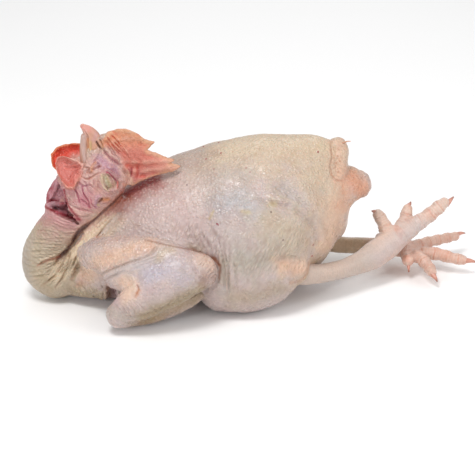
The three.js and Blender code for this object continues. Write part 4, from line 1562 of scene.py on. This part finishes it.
def make_foot(name, shank, toes, box, material):
    def relief(skin):
        folds, scales = foot_grooves(skin.points, skin.normals, shank, toes)
        skin.push -= 0.6 * folds + 0.22 * scales
        skin.roughen((0.3, 9), (0.12, 3))

    def painter(paint):
        folds, scales = foot_grooves(paint.points, paint.normals, shank, toes)
        from_toes = clipped((paint.points[:, 0] - 118) / 14)
        paint.lay("shank", 0.9 * (1 - from_toes))
        paint.lay("joint", 0.5 * folds * clipped(0.7 + noise(paint.points, 8, 50)) * from_toes)
        paint.lay("joint", 0.3 * scales * (0.3 + 0.7 * from_toes))
        paint.lay("joint", 0.35 * clipped(noise(paint.points, 9, 51) * 1.6 - 0.4) * from_toes)
        paint.lay("peach", 0.25 * clipped(noise(paint.points, 16, 52) + 0.2))
        if name == "far_foot":
            # Painted shade: the far shank laid darker.
            paint.lay("low peach", 0.8 * (1 - from_toes))
            paint.lay("joint", 0.2 * from_toes)
        else:
            paint.stroke_all([LEFT], [("web", 0.7, 12, [(380, 256), (402, 240), (418, 228)])])
        paint.keep()

    make_skin(name, foot_form(shank, toes, box), relief, FOOT_TRIANGLES, "foot", painter, material)


def joined(name, limbs):
    """One piece of several closed limbs."""
    points, triangles, count = [], [], 0
    for one, quads, ends in limbs:
        points.append(one)
        triangles += [quads[:, [0, 1, 2]] + count, quads[:, [0, 2, 3]] + count, ends + count]
        count += len(one)
    return mesh_piece(name, np.vstack(points), np.vstack(triangles))


def make_specks(skin_piece, material):
    """Low domes on the skin on both sides: blood spots, scabs and the stubs of feathers."""
    domes, centres = [], []
    for half, tone, places in SPECKS:
        for across, down in places:
            eye, direction = LEFT.sight(across, down)
            for side in (1, -1):
                origin = Vector((eye * (1, side, 1)) * MM)
                met, place, normal, _ = skin_piece.ray_cast(origin, Vector(direction * (1, side, 1)))
                if met:
                    centre = np.array(place) / MM
                    flat = 0.5 * half * np.array(normal)
                    stations = [(*(centre - flat), half, half), (*(centre + 0.2 * flat), half, half)]
                    domes.append(limb(stations, side=(0.3, 0.4, 0.86), sides=10, steps=1, domes=(0.5, 0.5)))
                    centres.append((centre, tone))
    domes.append(limb(round_sections(QUILL), sides=8, steps=2))
    paint = Paint(joined("skin_specks", domes), "blood")
    for centre, tone in centres:
        paint.lay(tone, np.linalg.norm(paint.points - centre, axis=1) < 1.5)
    paint.lay("horn", paint.points[:, 2] > 127)
    paint.keep()
    paint.piece.data.materials.append(material)


def make_claws(name, claws, material):
    piece = joined(name, [limb(round_sections(claw), side=TOE_SIDE, sides=16, steps=4) for claw in claws])
    paint = Paint(piece, "claw")
    for claw in claws:
        tip = np.array(claw[-1][:3])
        paint.lay("claw tip", 0.8 * bell(np.linalg.norm(paint.points - tip, axis=1) / 2.5))
    paint.keep()
    piece.data.materials.append(material)


def beak_form():
    form = Flesh(*BEAK_BOX)
    form.join(limb(UPPER_BEAK, sides=48), 0)
    form.join(limb(LOWER_BEAK, sides=40), 0.5)
    return form


def make_stage():
    """A plain pale floor, soft studio light and the camera."""
    scene = bpy.context.scene
    mesh = bpy.data.meshes.new("floor")
    corners = [(x * FLOOR_HALF, y * FLOOR_HALF, 0) for x, y in ((-1, -1), (1, -1), (1, 1), (-1, 1))]
    mesh.from_pydata(corners, [], [(0, 1, 2, 3)])
    floor = bpy.data.objects.new("floor", mesh)
    scene.collection.objects.link(floor)
    pale = Finish("pale floor", base_color=(0.96, 0.96, 0.96, 1), roughness=0.9, specular_ior_level=0.1)
    floor.data.materials.append(pale.finish())

    world = bpy.data.worlds.new("studio")
    world.use_nodes = True
    background = world.node_tree.nodes["Background"]
    background.inputs["Color"].default_value = (1, 1, 1, 1)
    background.inputs["Strength"].default_value = 0.55
    scene.world = world
    aim = Vector(AIM * MM)
    for name, place, width, power in LAMPS:
        light = bpy.data.lights.new(name, "AREA")
        light.shape = "DISK"
        light.size = width
        light.energy = power
        lamp = bpy.data.objects.new(name, light)
        lamp.location = place
        lamp.rotation_euler = (Vector(place) - aim).to_track_quat("Z", "Y").to_euler()
        scene.collection.objects.link(lamp)

    back = Vector(LEFT.back)
    camera = bpy.data.objects.new("camera", bpy.data.cameras.new("camera"))
    camera.data.lens = CAMERA_LENS
    camera.data.sensor_width = SENSOR
    camera.location = aim + back * CAMERA_DISTANCE * MM
    camera.rotation_euler = back.to_track_quat("Z", "Y").to_euler()
    scene.collection.objects.link(camera)
    scene.camera = camera
    scene.view_settings.view_transform = "Standard"


make_stage()
skin_material = chicken_skin()
foot_material = foot_skin()
horn_material = horn()
torso = skin_form(BODY_BOX, TORSO)
body = make_skin("chicken_skin", torso, body_relief, SKIN_TRIANGLES, "lilac", paint_body, skin_material)
for wing, wing_box in (("near_wing", NEAR_WING_BOX), ("far_wing", FAR_WING_BOX)):
    form = skin_form(wing_box, WINGS)
    make_skin(wing, form, wing_relief, WING_TRIANGLES, "lilac", paint_wing, skin_material)
head = skin_form(HEAD_BOX, HEAD_AND_NECK, detailed=True)
make_skin("head_and_neck", head, head_relief, SKIN_TRIANGLES, "neck", paint_head, skin_material)
make_skin("beak", beak_form(), beak_relief, BEAK_TRIANGLES, "horn", paint_beak, horn_material)
make_foot("near_foot", NEAR_SHANK, NEAR_TOES, NEAR_FOOT_BOX, foot_material)
make_foot("far_foot", FAR_SHANK, FAR_TOES, FAR_FOOT_BOX, foot_material)
make_specks(body, horn_material)
make_claws("near_claws", NEAR_CLAWS, horn_material)
make_claws("far_claws", FAR_CLAWS, horn_material)
